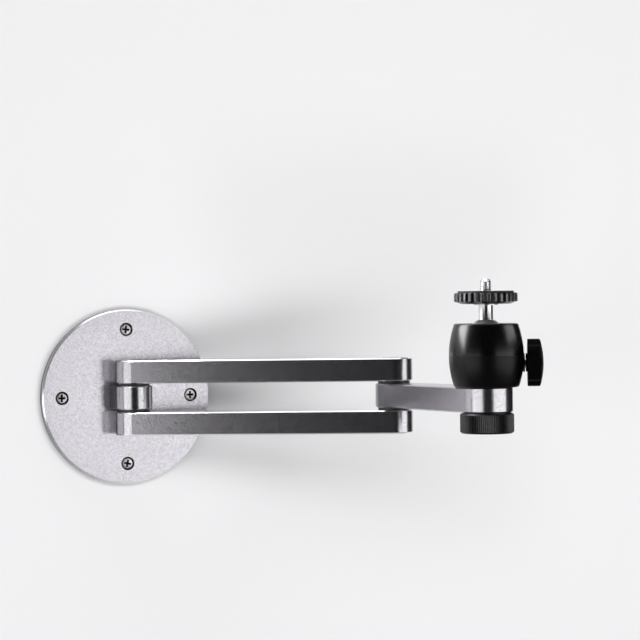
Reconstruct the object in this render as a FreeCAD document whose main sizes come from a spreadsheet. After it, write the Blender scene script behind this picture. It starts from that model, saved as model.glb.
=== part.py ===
import FreeCAD, Part
import os
import re

import Sketcher

# Wall mount with two parallel bars, a forearm and a ball head.
# Frame: the origin is the middle of the plate's back, on the wall. +X runs along the wall to the right,
# +Z is up, and the mount stands out of the wall towards -Y. Lengths are in millimetres, angles in degrees.

SIZES = {
    # wall plate and its screws
    "plate_diameter": 100,
    "plate_thickness": 5,
    "plate_bevel": 0.8,
    "screw_edge_distance": 11.5,
    "wall_screw_count": 4,
    "wall_screw_diameter": 3.6,
    "wall_screw_shank": 3.2,
    "wall_screw_head": 6.2,
    "wall_screw_sink": 0.8,
    "wall_screw_length": 30,
    "wall_screw_point": 5,
    "wall_screw_tip": 0.8,
    "screw_hole_clearance": 0.15,
    "cross_recess_span": 4.4,
    "cross_recess_width": 1.2,
    "cross_recess_depth": 1.1,
    # knuckle on the plate
    "plate_gap": 2.5,
    "block_height": 13.4,
    "knuckle_screw_margin": 4,
    "knuckle_screw_diameter": 4,
    "knuckle_screw_head": 7,
    "knuckle_screw_end_gap": 5,
    # bars
    "bar_width": 21,
    "bar_thickness": 13,
    "bar_bevel": 0.6,
    "arm_length": 148,
    "arm_angle": 26,
    # pivots
    "washer_thickness": 1.5,
    "washer_diameter": 18,
    "pivot_bolt_diameter": 8,
    "pivot_head_diameter": 13,
    "pivot_head_height": 3.5,
    "pivot_head_sink": 0.6,
    "pivot_head_clearance": 0.3,
    "pivot_bevel": 0.5,
    "socket_flats": 5,
    "socket_depth": 2.4,
    "pivot_nut_flats": 13,
    "pivot_nut_height": 4,
    "running_clearance": 0.05,
    "bush_wall": 1.5,
    # forearm
    "forearm_length": 82,
    "forearm_head_diameter": 28,
    "forearm_angle": 77,
    # thumb nut and its stud
    "thumb_nut_diameter": 29,
    "thumb_nut_height": 11.3,
    "thumb_nut_bevel": 0.9,
    "thumb_nut_floor": 2.5,
    "thumb_nut_land": 0.5,
    "thumb_nut_land_inset": 2,
    "stud_diameter": 9.5,
    "stud_end_gap": 1,
    "stud_bevel": 0.8,
    # barrel of the ball head
    "head_angle": 26.5,
    "barrel_diameter": 40.2,
    "barrel_height": 34.1,
    "barrel_wall": 6.9,
    "seam_rise": 1.2,
    "belly_drop": 0.5,
    "lower_curve": 51,
    "upper_curve": 52,
    "spigot_share": 0.38,
    "spigot_wall": 3.3,
    "barrel_base_bevel": 0.7,
    "barrel_top_round": 1.3,
    "insert_wall": 2.2,
    "lip_thickness": 3.4,
    "lip_clearance": 0.4,
    "rim_gap": 2,
    # ball and what holds it
    "ball_side_gap": 2.7,
    "ball_proud": 2.8,
    "seat_clearance": 0.3,
    "cup_hole_diameter": 10,
    "cup_share": 0.52,
    "liner_height": 3.4,
    "wedge_height": 6.5,
    "wedge_end_gap": 2.2,
    "wedge_width": 10,
    "wedge_rise": 1.5,
    # side clamp
    "clamp_screw_diameter": 4,
    "clamp_screw_gap": 1,
    "clamp_tip_gap": 0.2,
    "clamp_bush_diameter": 7.2,
    "clamp_boss_diameter": 10,
    "clamp_boss_height": 2.4,
    "clamp_seat_depth": 2,
    "clamp_waist_diameter": 6.3,
    "clamp_waist_length": 0.5,
    "knob_diameter": 25.4,
    "knob_hub_length": 0.9,
    "knob_thickness": 8.6,
    "knob_crown": 1.6,
    "knob_bevel": 1,
    "knob_screw_depth": 6,
    "knob_lobe_count": 6,
    "knob_scallop_radius": 9,
    "knob_scallop_depth": 1.3,
    # stem and lock disc, heights counted from the ball's centre
    "stem_diameter": 7.6,
    "stem_flare": 0.4,
    "stem_root_diameter": 6,
    "stem_root_length": 7,
    "stem_height": 17.6,
    "mounting_thread_diameter": 6.35,
    "mounting_thread_depth": 0.83,
    "mounting_thread_reach": 6.4,
    "mounting_thread_gap": 0.3,
    "mounting_thread_bevel": 0.7,
    "lock_disc_diameter": 34,
    "lock_disc_thickness": 6,
    "lock_disc_bevel": 0.6,
    "lock_taper_height": 1.4,
    "lock_taper_width": 4,
    "lock_insert_diameter": 13,
    "lock_insert_proud": 0.5,
    "lock_ridge_count": 30,
    "lock_groove_radius": 1,
    "lock_groove_depth": 0.8,
    "pad_inset": 2,
    "pad_thickness": 1,
}

doc = FreeCAD.newDocument("wall_mount")
sheet = doc.addObject("Spreadsheet::Sheet", "sizes")
for row, (alias, size) in enumerate(SIZES.items(), 1):
    sheet.set("A%d" % row, alias.replace("_", " "))
    sheet.set("B%d" % row, str(size))
    sheet.setAlias("B%d" % row, alias)
doc.recompute()

ALIAS_WORDS = re.compile(r"\b(%s)\b" % "|".join(sorted(SIZES, key=len, reverse=True)))
PARTS = []

# Places and sizes that follow from the driving ones, as formulas.
BAR_R = "(bar_width / 2)"
PIVOT_Y = "(-plate_thickness - plate_gap - bar_width / 2)"
SCREW_CIRCLE_R = "(plate_diameter / 2 - screw_edge_distance)"
KNUCKLE_SCREW_X = "(bar_width / 2 - knuckle_screw_margin)"
BAR_INNER_Z = "(block_height / 2 + washer_thickness)"
BAR_OUTER_Z = "(block_height / 2 + washer_thickness + bar_thickness)"
BOLT_TOP_Z = "(block_height / 2 + washer_thickness + bar_thickness - pivot_head_sink)"
BUSH_BORE_R = "(pivot_bolt_diameter / 2 + running_clearance)"
BUSH_R = "(pivot_bolt_diameter / 2 + running_clearance + bush_wall)"
ELBOW_X = "(arm_length * cos(arm_angle))"
ELBOW_Y = "(%s - arm_length * sin(arm_angle))" % PIVOT_Y
HEAD_X = "(%s + forearm_length * cos(forearm_angle))" % ELBOW_X
HEAD_Y = "(%s - forearm_length * sin(forearm_angle))" % ELBOW_Y
STUD_BORE_R = "(stud_diameter / 2 + running_clearance)"
INSERT_R = "(stud_diameter / 2 + running_clearance + insert_wall)"

# Heights inside the ball head are counted from the barrel's base, and follow from its top.
HEAD_BASE_Z = "(block_height / 2)"
CAVITY_R = "(barrel_diameter / 2 - barrel_wall)"
BALL_R = "(barrel_diameter / 2 - barrel_wall - ball_side_gap)"
SEAT_R = "(%s + seat_clearance)" % BALL_R
BALL_MIDDLE_Z = "(barrel_height + ball_proud - %s)" % BALL_R
CUP_Z = "(%s - %s)" % (BALL_MIDDLE_Z, BALL_R)
SEAM_Z = "(%s + seam_rise)" % CUP_Z
BELLY_Z = "(%s - belly_drop)" % SEAM_Z
LIP_Z = "(barrel_height - lip_thickness)"
LINER_Z = "(%s - liner_height)" % LIP_Z
CUP_TOP_Z = "(%s + cup_share * (%s - %s))" % (CUP_Z, LINER_Z, CUP_Z)
SPIGOT_R = "(%s + spigot_wall)" % CAVITY_R
SPIGOT_TOP_Z = "(%s + spigot_share * (%s - %s))" % (SEAM_Z, LIP_Z, SEAM_Z)
FLOOR_Z = "(%s - wedge_height)" % CUP_Z
CLAMP_Z = "(%s - clamp_screw_gap - clamp_screw_diameter / 2)" % CUP_Z

# Lengths of the side clamp are counted from the barrel's axis, those of the stem from the ball's centre.
WEDGE_END_X = "(%s - wedge_end_gap)" % CAVITY_R
BOSS_SEAT_X = "(barrel_diameter / 2 - clamp_seat_depth)"
BOSS_END_X = "(%s + clamp_boss_height)" % BOSS_SEAT_X
KNOB_BACK_X = "(%s + clamp_waist_length)" % BOSS_END_X
BALL_Z = "(%s + %s)" % (HEAD_BASE_Z, BALL_MIDDLE_Z)
THREAD_CORE_R = "((mounting_thread_diameter - mounting_thread_depth) / 2)"
DISC_Z = "(stem_height + lock_insert_proud)"
DISC_TOP_Z = "(%s + lock_disc_thickness)" % DISC_Z
PAD_TOP_Z = "(%s + pad_thickness)" % DISC_TOP_Z


def formula(text):
    """Puts the sheet's name before every size in a formula."""
    return ALIAS_WORDS.sub(r"sizes.\1", text)


def value(text):
    """Works a formula out from the sheet."""
    return float(sheet.evalExpression(formula(text)))


def sphere_reach(radius, height):
    """Radius of a sphere at a height above its centre."""
    return "sqrt((%s)^2 - (%s)^2)" % (radius, height)


def lower_barrel_r(height):
    """Radius of the barrel's lower curve at a height."""
    return "(barrel_diameter / 2 - lower_curve + sqrt(lower_curve^2 - (%s - %s)^2))" % (height, BELLY_Z)


def upper_barrel_r(height):
    """Radius of the barrel's upper curve at a height."""
    return "(barrel_diameter / 2 - upper_curve + sqrt(upper_curve^2 - (%s - %s)^2))" % (height, BELLY_Z)


def new_body(label, x="0", y="0", z="0", turn="0"):
    """A sub-part's body, placed in the mount's frame and turned about +Z."""
    body = doc.addObject("PartDesign::Body", label)
    body.Label = label
    place = "placement(vector(%s; %s; %s); rotation(vector(0; 0; 1); %s))" % (x, y, z, turn)
    body.setExpression("Placement", formula(place))
    PARTS.append(body)
    return body


def origin_feature(body, role):
    """A plane or axis of the body's own origin."""
    return next(item for item in body.Origin.OriginFeatures if item.Role == role)


def new_sketch(body, name, role="XY_Plane", height="0"):
    """A sketch on one of the body's origin planes, moved along the plane's normal."""
    sketch = body.newObject("Sketcher::SketchObject", name)
    sketch.AttachmentSupport = [(origin_feature(body, role), "")]
    sketch.MapMode = "FlatFace"
    sketch.setExpression("AttachmentOffset.Base.z", formula(height))
    return sketch


def bind(sketch, constraint, text):
    """Adds a constraint whose size follows a formula."""
    index = sketch.addConstraint(constraint)
    sketch.setExpression("Constraints[%d]" % index, formula(text))


def fix_point(sketch, geometry, end, x, y):
    """Holds one end of a sketch line at a place."""
    bind(sketch, Sketcher.Constraint("DistanceX", -1, 1, geometry, end, value(x)), x)
    bind(sketch, Sketcher.Constraint("DistanceY", -1, 1, geometry, end, value(y)), y)


def arc_between(start, end, radius, side):
    """An arc of less than half a turn. The side is +1 where its centre lies left of the way, else -1."""
    chord = end - start
    rise = max(radius ** 2 - (chord.Length / 2) ** 2, 0) ** 0.5
    left = FreeCAD.Vector(-chord.y, chord.x, 0).normalize()
    centre = (start + end) * 0.5 + left * rise * side
    circle = Part.Circle(centre, FreeCAD.Vector(0, 0, 1), radius)
    first, last = (start, end) if side > 0 else (end, start)
    return Part.ArcOfCircle(circle, circle.parameter(first), circle.parameter(last))


def draw(sketch, path):
    """Draws a closed outline. A step is a corner (x, y), or (x, y, radius, side) where an arc ends."""
    corners = [FreeCAD.Vector(value(step[0]), value(step[1]), 0) for step in path]
    ends = []
    for index, step in enumerate(path):
        start, end = corners[index - 1], corners[index]
        if len(step) == 2:
            ends.append((sketch.addGeometry(Part.LineSegment(start, end)), 1, 2))
            continue
        forward = step[3] > 0
        arc = sketch.addGeometry(arc_between(start, end, value(step[2]), step[3]))
        bind(sketch, Sketcher.Constraint("Radius", arc, value(step[2])), step[2])
        ends.append((arc, 1, 2) if forward else (arc, 2, 1))
    for index, step in enumerate(path):
        geometry, _, last = ends[index]
        following, first, _ = ends[(index + 1) % len(path)]
        sketch.addConstraint(Sketcher.Constraint("Coincident", geometry, last, following, first))
        fix_point(sketch, geometry, last, step[0], step[1])
    return sketch


def draw_circle(sketch, x, y, radius):
    """Draws a circle about a place."""
    centre = FreeCAD.Vector(value(x), value(y), 0)
    circle = sketch.addGeometry(Part.Circle(centre, FreeCAD.Vector(0, 0, 1), value(radius)))
    fix_point(sketch, circle, 3, x, y)
    bind(sketch, Sketcher.Constraint("Radius", circle, value(radius)), radius)
    return sketch


def add_axis(sketch, start, end):
    """Draws the construction line that a profile is turned about."""
    points = [FreeCAD.Vector(value(x), value(y), 0) for x, y in (start, end)]
    line = sketch.addGeometry(Part.LineSegment(*points), True)
    fix_point(sketch, line, 1, *start)
    fix_point(sketch, line, 2, *end)


def pad(body, name, sketch, length):
    """Raises a sketch along its normal."""
    feature = body.newObject("PartDesign::Pad", name)
    feature.Profile = sketch
    feature.setExpression("Length", formula(length))
    return feature


def turn(body, name, sketch, axis="V_Axis"):
    """Turns a profile into a solid."""
    feature = body.newObject("PartDesign::Revolution", name)
    feature.Profile = sketch
    feature.ReferenceAxis = (sketch, [axis])
    feature.Angle = 360
    return feature


def checked_cut(body, feature):
    """Makes sure that a cut took material away."""
    before = body.Shape.Volume
    doc.recompute()
    if not feature.Shape.Volume < before - 0.01:
        raise RuntimeError("%s of %s cuts nothing" % (feature.Name, body.Label))
    return feature


def turned_cut(body, name, sketch, axis, reaches_body=True):
    """Cuts a turned profile out of the body. A profile that may pass beside the body isn't checked."""
    doc.recompute()
    feature = body.newObject("PartDesign::Groove", name)
    feature.Profile = sketch
    feature.ReferenceAxis = (sketch, [axis])
    feature.Angle = 360
    return checked_cut(body, feature) if reaches_body else feature


def pocket(body, name, sketch, depth, along_normal=False):
    """Cuts a sketch out of the body, against the sketch's normal unless told otherwise."""
    doc.recompute()
    feature = body.newObject("PartDesign::Pocket", name)
    feature.Profile = sketch
    feature.Reversed = along_normal
    feature.setExpression("Length", formula(depth))
    return checked_cut(body, feature)


def pattern(body, name, originals, role, count):
    """Repeats features evenly about one of the body's axes."""
    feature = body.newObject("PartDesign::PolarPattern", name)
    feature.Originals = originals
    feature.Axis = (origin_feature(body, role), [""])
    feature.Angle = 360
    feature.setExpression("Occurrences", formula(count))
    body.Tip = feature
    return feature


def bevel(body, name, size, picked):
    """Chamfers the edges of the newest feature that the test picks."""
    doc.recompute()
    base = body.Tip
    names = ["Edge%d" % n for n, edge in enumerate(base.Shape.Edges, 1) if picked(edge)]
    if not names:
        raise RuntimeError("%s finds no edge" % name)
    feature = body.newObject("PartDesign::Chamfer", name)
    feature.Base = (base, names)
    feature.setExpression("Size", formula(size))
    return feature


def level_edges(*heights):
    """A test for edges that lie flat at one of the heights."""
    levels = [value(height) for height in heights]

    def picked(edge):
        box = edge.BoundBox
        return box.ZLength < 1e-6 and any(abs(box.ZMin - level) < 1e-6 for level in levels)

    return picked


def turned_part(label, path, x="0", y="0", z="0", turned="0"):
    """A sub-part turned about its own upright axis, from a profile of radius and height."""
    body = new_body(label, x, y, z, turned)
    turn(body, label + "_turned", draw(new_sketch(body, label + "_profile", "XZ_Plane"), path))
    return body


def tube(inner, outer, low, high):
    """The profile of a plain ring."""
    return [(inner, low), (outer, low), (outer, high), (inner, high)]


def stadium(first_r, second_r, length):
    """The outline of a bar with round ends, centred on its first pivot, with flanks that touch both ends."""
    lean = "((%s - %s) / (%s))" % (second_r, first_r, length)
    flank = "sqrt(1 - %s^2)" % lean
    first_x = "-(%s) * %s" % (first_r, lean)
    second_x = "(%s) - (%s) * %s" % (length, second_r, lean)
    first_y = "(%s) * %s" % (first_r, flank)
    second_y = "(%s) * %s" % (second_r, flank)
    return [
        (second_x, "-" + second_y),
        ("(%s) + %s" % (length, second_r), "0", second_r, 1),
        (second_x, second_y, second_r, 1),
        (first_x, first_y),
        ("-(%s)" % first_r, "0", first_r, 1),
        (first_x, "-" + first_y, first_r, 1),
    ]


def hexagon(flats):
    """The six corners of a hexagon about the origin."""
    return [("%s / 2 / cos(30) * cos(%d)" % (flats, step * 60), "%s / 2 / cos(30) * sin(%d)" % (flats, step * 60))
            for step in range(6)]


def bore(body, name, x, radius, low, high):
    """Cuts an upright round hole, from a low to a high level."""
    sketch = draw_circle(new_sketch(body, name + "_outline", "XY_Plane", high), x, "0", radius)
    return pocket(body, name, sketch, "%s - (%s)" % (high, low))


def wall_plate():
    body = new_body("wall_plate")
    disc = draw_circle(new_sketch(body, "plate_outline", "XZ_Plane"), "0", "0", "plate_diameter / 2")
    pad(body, "plate_disc", disc, "plate_thickness")
    front = value("-plate_thickness")
    bevel(body, "plate_edge", "plate_bevel", lambda edge: abs(edge.BoundBox.YMax - front) < 1e-6)
    seat = new_sketch(body, "wall_screw_seat", "YZ_Plane")
    middle = SCREW_CIRCLE_R
    mouth = "(wall_screw_head / 2 + wall_screw_sink)"
    hole = "(wall_screw_diameter / 2 + screw_hole_clearance)"
    add_axis(seat, ("0", middle), ("-plate_thickness", middle))
    draw(seat, [
        ("-plate_thickness", middle),
        ("0", middle),
        ("0", "%s + %s" % (middle, hole)),
        ("-plate_thickness + %s - %s" % (mouth, hole), "%s + %s" % (middle, hole)),
        ("-plate_thickness", "%s + %s" % (middle, mouth)),
    ])
    cut = turned_cut(body, "wall_screw_hole", seat, "Axis0")
    pattern(body, "wall_screw_holes", [cut], "Y_Axis", "wall_screw_count")
    for side, sign in (("left", "-"), ("right", "")):
        seat = new_sketch(body, "knuckle_screw_seat_" + side)
        middle = "(%s%s)" % (sign, KNUCKLE_SCREW_X)
        cone = "((knuckle_screw_head - knuckle_screw_diameter) / 2)"
        add_axis(seat, (middle, "0"), (middle, "-plate_thickness"))
        draw(seat, [
            (middle, "-plate_thickness"),
            ("%s + knuckle_screw_diameter / 2" % middle, "-plate_thickness"),
            ("%s + knuckle_screw_diameter / 2" % middle, "-" + cone),
            ("%s + knuckle_screw_head / 2" % middle, "0"),
            (middle, "0"),
        ])
        turned_cut(body, "knuckle_screw_hole_" + side, seat, "Axis0")


def wall_screws():
    body = new_body("wall_screws")
    middle = SCREW_CIRCLE_R
    face = "(wall_screw_sink - plate_thickness)"
    end = "(wall_screw_length + %s)" % face
    profile = new_sketch(body, "wall_screw_profile", "YZ_Plane")
    add_axis(profile, (face, middle), (end, middle))
    draw(profile, [
        (face, middle),
        (end, middle),
        (end, "%s + wall_screw_tip / 2" % middle),
        ("%s - wall_screw_point" % end, "%s + wall_screw_diameter / 2" % middle),
        ("0", "%s + wall_screw_diameter / 2" % middle),
        ("0", "%s + wall_screw_shank / 2" % middle),
        ("%s + (wall_screw_head - wall_screw_shank) / 2" % face, "%s + wall_screw_shank / 2" % middle),
        (face, "%s + wall_screw_head / 2" % middle),
    ])
    shank = turn(body, "wall_screw", profile, "Axis0")
    arm, half = "cross_recess_span / 2", "cross_recess_width / 2"
    corners = [(arm, half), (half, half), (half, arm), ("-" + half, arm), ("-" + half, half), ("-" + arm, half),
               ("-" + arm, "-" + half), ("-" + half, "-" + half), ("-" + half, "-" + arm), (half, "-" + arm),
               (half, "-" + half), (arm, "-" + half)]
    recess = draw(new_sketch(body, "cross_recess", "XZ_Plane", "-" + face),
                  [(x, "%s + %s" % (middle, z)) for x, z in corners])
    cut = pocket(body, "cross_recess_cut", recess, "cross_recess_depth")
    pattern(body, "all_wall_screws", [shank, cut], "Y_Axis", "wall_screw_count")


def knuckle():
    body = new_body("knuckle", "0", PIVOT_Y, "0")
    depth = "(plate_gap + bar_width / 2)"
    outline = new_sketch(body, "knuckle_outline", "XY_Plane", "-block_height / 2")
    draw(outline, [
        ("-" + BAR_R, depth),
        ("-" + BAR_R, "0"),
        ("0", "-" + BAR_R, BAR_R, 1),
        (BAR_R, "0", BAR_R, 1),
        (BAR_R, depth),
    ])
    pad(body, "knuckle_block", outline, "block_height")
    levels = level_edges("block_height / 2", "-block_height / 2")
    wall_side = value(depth)
    bevel(body, "knuckle_edges", "bar_bevel", lambda edge: levels(edge) and edge.BoundBox.YMin < wall_side - 1e-6)
    bore(body, "knuckle_bore", "0", BUSH_R, "-block_height / 2", "block_height / 2")
    for side, sign in (("left", "-"), ("right", "")):
        middle = "(%s%s)" % (sign, KNUCKLE_SCREW_X)
        seat = new_sketch(body, "thread_outline_" + side)
        add_axis(seat, (middle, depth), (middle, "knuckle_screw_end_gap"))
        draw(seat, [
            (middle, "knuckle_screw_end_gap"),
            ("%s + knuckle_screw_diameter / 2" % middle, "knuckle_screw_end_gap"),
            ("%s + knuckle_screw_diameter / 2" % middle, depth),
            (middle, depth),
        ])
        turned_cut(body, "thread_" + side, seat, "Axis0")


def knuckle_screws():
    body = new_body("knuckle_screws")
    middle = KNUCKLE_SCREW_X
    cone = "((knuckle_screw_head - knuckle_screw_diameter) / 2)"
    end = "(%s + knuckle_screw_end_gap)" % PIVOT_Y
    profile = new_sketch(body, "knuckle_screw_profile")
    add_axis(profile, (middle, "0"), (middle, end))
    draw(profile, [
        (middle, end),
        ("%s + knuckle_screw_diameter / 2" % middle, end),
        ("%s + knuckle_screw_diameter / 2" % middle, "-" + cone),
        ("%s + knuckle_screw_head / 2" % middle, "0"),
        (middle, "0"),
    ])
    turn(body, "knuckle_screw", profile, "Axis0")
    arm, half = "cross_recess_span / 2", "cross_recess_width / 2"
    for name, wide, tall in (("flat", arm, half), ("upright", half, arm)):
        slot = draw(new_sketch(body, "slot_outline_" + name, "XZ_Plane"),
                    [("%s - %s" % (middle, wide), "-" + tall), ("%s + %s" % (middle, wide), "-" + tall),
                     ("%s + %s" % (middle, wide), tall), ("%s - %s" % (middle, wide), tall)])
        pocket(body, "slot_" + name, slot, "cross_recess_depth", True)
    doc.recompute()
    mirror = body.newObject("PartDesign::Mirrored", "both_knuckle_screws")
    mirror.Originals = [item for item in body.Group if item.isDerivedFrom("PartDesign::FeatureAddSub")]
    mirror.MirrorPlane = (origin_feature(body, "YZ_Plane"), [""])
    body.Tip = mirror


def long_bar(label, upper):
    """One of the two parallel bars. Heads sink into the upper one, nuts into the lower one."""
    low, high = (BAR_INNER_Z, BAR_OUTER_Z) if upper else ("-" + BAR_OUTER_Z, "-" + BAR_INNER_Z)
    body = new_body(label, "0", PIVOT_Y, "0", "-arm_angle")
    outline = draw(new_sketch(body, label + "_outline", "XY_Plane", low), stadium(BAR_R, BAR_R, "arm_length"))
    pad(body, label + "_blank", outline, "bar_thickness")
    bevel(body, label + "_edges", "bar_bevel", level_edges(low, high))
    for end, x in (("wall", "0"), ("elbow", "arm_length")):
        bore(body, "%s_%s_bore" % (label, end), x, "pivot_bolt_diameter / 2", low, high)
        if upper:
            seat = "(pivot_head_diameter / 2 + pivot_head_clearance)"
            floor = "(%s - pivot_head_height)" % BOLT_TOP_Z
            bore(body, "%s_%s_sink" % (label, end), x, seat, floor, high)
        else:
            seat = "(pivot_nut_flats / 2 / cos(30) + pivot_head_clearance)"
            ceiling = "(pivot_nut_height - %s)" % BOLT_TOP_Z
            bore(body, "%s_%s_sink" % (label, end), x, seat, low, ceiling)


def pivot_bolt(label, x, y, turned):
    head_r, shank_r = "pivot_head_diameter / 2", "pivot_bolt_diameter / 2"
    seat = "(%s - pivot_head_height)" % BOLT_TOP_Z
    body = turned_part(label, [
        ("0", "-" + BOLT_TOP_Z),
        ("%s - pivot_bevel" % shank_r, "-" + BOLT_TOP_Z),
        (shank_r, "-%s + pivot_bevel" % BOLT_TOP_Z),
        (shank_r, seat),
        (head_r, seat),
        (head_r, "%s - pivot_bevel" % BOLT_TOP_Z),
        ("%s - pivot_bevel" % head_r, BOLT_TOP_Z),
        ("0", BOLT_TOP_Z),
    ], x, y, "0", turned)
    socket = draw(new_sketch(body, label + "_socket_outline", "XY_Plane", BOLT_TOP_Z), hexagon("socket_flats"))
    pocket(body, label + "_socket", socket, "socket_depth")


def pivot_nut(label, x, y, turned):
    low = "-" + BOLT_TOP_Z
    body = new_body(label, x, y, "0", turned)
    outline = draw(new_sketch(body, label + "_outline", "XY_Plane", low), hexagon("pivot_nut_flats"))
    pad(body, label + "_blank", outline, "pivot_nut_height")
    bore(body, label + "_bore", "0", "pivot_bolt_diameter / 2", low, "pivot_nut_height - " + BOLT_TOP_Z)


def pivot_washer(label, upper, x, y, turned):
    low, high = (HEAD_BASE_Z, BAR_INNER_Z) if upper else ("-" + BAR_INNER_Z, "-" + HEAD_BASE_Z)
    turned_part(label, tube("pivot_bolt_diameter / 2", "washer_diameter / 2", low, high), x, y, "0", turned)


def pivot_bush(label, x, y, turned):
    turned_part(label, tube(BUSH_BORE_R, BUSH_R, "-block_height / 2", "block_height / 2"), x, y, "0", turned)


def forearm():
    body = new_body("forearm", ELBOW_X, ELBOW_Y, "0", "-forearm_angle")
    outline = new_sketch(body, "forearm_outline", "XY_Plane", "-block_height / 2")
    draw(outline, stadium(BAR_R, "forearm_head_diameter / 2", "forearm_length"))
    pad(body, "forearm_blank", outline, "block_height")
    bevel(body, "forearm_edges", "bar_bevel", level_edges("-block_height / 2", "block_height / 2"))
    bore(body, "elbow_bore", "0", BUSH_R, "-block_height / 2", "block_height / 2")
    bore(body, "head_bore", "forearm_length", STUD_BORE_R, "-block_height / 2", "block_height / 2")


def thumb_nut():
    top = "(-block_height / 2)"
    low = "(-block_height / 2 - thumb_nut_height)"
    rim = "thumb_nut_diameter / 2"
    shoulder = "(%s - thumb_nut_land)" % top
    turned_part("thumb_nut", [
        ("0", low),
        ("%s - thumb_nut_bevel" % rim, low),
        (rim, "%s + thumb_nut_bevel" % low),
        (rim, "%s - thumb_nut_bevel" % shoulder),
        ("%s - thumb_nut_bevel" % rim, shoulder),
        ("%s - thumb_nut_land_inset" % rim, shoulder),
        ("%s - thumb_nut_land_inset" % rim, top),
        ("stud_diameter / 2", top),
        ("stud_diameter / 2", "%s + thumb_nut_floor" % low),
        ("0", "%s + thumb_nut_floor" % low),
    ], HEAD_X, HEAD_Y)
    end = "(%s + %s - stud_end_gap)" % (HEAD_BASE_Z, FLOOR_Z)
    turned_part("clamp_stud", [
        ("0", "%s + thumb_nut_floor" % low),
        ("stud_diameter / 2", "%s + thumb_nut_floor" % low),
        ("stud_diameter / 2", "%s - stud_bevel" % end),
        ("stud_diameter / 2 - stud_bevel", end),
        ("0", end),
    ], HEAD_X, HEAD_Y)


def barrel_lower():
    body = turned_part("barrel_lower", [
        (INSERT_R, FLOOR_Z),
        (INSERT_R, "0"),
        (lower_barrel_r("barrel_base_bevel") + " - barrel_base_bevel", "0"),
        (lower_barrel_r("barrel_base_bevel"), "barrel_base_bevel"),
        ("barrel_diameter / 2", BELLY_Z, "lower_curve", 1),
        (upper_barrel_r(SEAM_Z), SEAM_Z, "upper_curve", 1),
        (SPIGOT_R, SEAM_Z),
        (SPIGOT_R, SPIGOT_TOP_Z),
        (CAVITY_R, SPIGOT_TOP_Z),
        (CAVITY_R, FLOOR_Z),
    ], HEAD_X, HEAD_Y, HEAD_BASE_Z, "-head_angle")
    side = new_sketch(body, "clamp_hole_outline", "XZ_Plane")
    inside, outside = "(%s - spigot_wall)" % CAVITY_R, "(barrel_diameter / 2 + spigot_wall)"
    add_axis(side, (inside, CLAMP_Z), (outside, CLAMP_Z))
    draw(side, [
        (inside, CLAMP_Z),
        (outside, CLAMP_Z),
        (outside, CLAMP_Z + " + clamp_boss_diameter / 2"),
        (BOSS_SEAT_X, CLAMP_Z + " + clamp_boss_diameter / 2"),
        (BOSS_SEAT_X, CLAMP_Z + " + clamp_bush_diameter / 2"),
        (inside, CLAMP_Z + " + clamp_bush_diameter / 2"),
    ])
    turned_cut(body, "clamp_hole", side, "Axis0")


def barrel_upper():
    round_z = "(barrel_height - barrel_top_round)"
    body = turned_part("barrel_upper", [
        (SPIGOT_R, SPIGOT_TOP_Z),
        (SPIGOT_R, SEAM_Z),
        (upper_barrel_r(SEAM_Z), SEAM_Z),
        (upper_barrel_r(round_z), round_z, "upper_curve", 1),
        (upper_barrel_r(round_z) + " - barrel_top_round", "barrel_height", "barrel_top_round", 1),
        (sphere_reach(BALL_R, "%s - ball_proud" % BALL_R) + " + rim_gap", "barrel_height"),
        (sphere_reach(BALL_R, "%s - %s" % (LIP_Z, BALL_MIDDLE_Z)) + " + lip_clearance", LIP_Z),
        (CAVITY_R, LIP_Z),
        (CAVITY_R, SPIGOT_TOP_Z),
    ], HEAD_X, HEAD_Y, HEAD_BASE_Z, "-head_angle")
    side = new_sketch(body, "boss_seat_outline", "XZ_Plane")
    outside = "(barrel_diameter / 2 + spigot_wall)"
    add_axis(side, (BOSS_SEAT_X, CLAMP_Z), (outside, CLAMP_Z))
    draw(side, [
        (BOSS_SEAT_X, CLAMP_Z),
        (outside, CLAMP_Z),
        (outside, CLAMP_Z + " + clamp_boss_diameter / 2"),
        (BOSS_SEAT_X, CLAMP_Z + " + clamp_boss_diameter / 2"),
    ])
    turned_cut(body, "boss_seat", side, "Axis0", reaches_body=False)


def ball_seats():
    turned_part("base_insert", tube(STUD_BORE_R, INSERT_R, "0", FLOOR_Z),
                HEAD_X, HEAD_Y, HEAD_BASE_Z, "-head_angle")
    hole_r = "cup_hole_diameter / 2"
    turned_part("ball_cup", [
        (hole_r, CUP_Z),
        (CAVITY_R, CUP_Z),
        (CAVITY_R, CUP_TOP_Z),
        (sphere_reach(SEAT_R, "%s - %s" % (BALL_MIDDLE_Z, CUP_TOP_Z)), CUP_TOP_Z),
        (hole_r, "%s - %s" % (BALL_MIDDLE_Z, sphere_reach(SEAT_R, hole_r)), SEAT_R, -1),
    ], HEAD_X, HEAD_Y, HEAD_BASE_Z, "-head_angle")
    turned_part("liner_ring", [
        (sphere_reach(SEAT_R, "%s - %s" % (LINER_Z, BALL_MIDDLE_Z)), LINER_Z),
        (CAVITY_R, LINER_Z),
        (CAVITY_R, LIP_Z),
        (sphere_reach(SEAT_R, "%s - %s" % (LIP_Z, BALL_MIDDLE_Z)), LIP_Z),
    ], HEAD_X, HEAD_Y, HEAD_BASE_Z, "-head_angle")


def clamp_wedge():
    body = new_body("clamp_wedge", HEAD_X, HEAD_Y, HEAD_BASE_Z, "-head_angle")
    side = new_sketch(body, "wedge_outline", "XZ_Plane", "-wedge_width / 2")
    draw(side, [
        ("-" + WEDGE_END_X, FLOOR_Z),
        (WEDGE_END_X, FLOOR_Z),
        (WEDGE_END_X, CUP_Z),
        ("-" + WEDGE_END_X, "%s - wedge_rise" % CUP_Z),
    ])
    pad(body, "wedge_block", side, "wedge_width")


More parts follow.
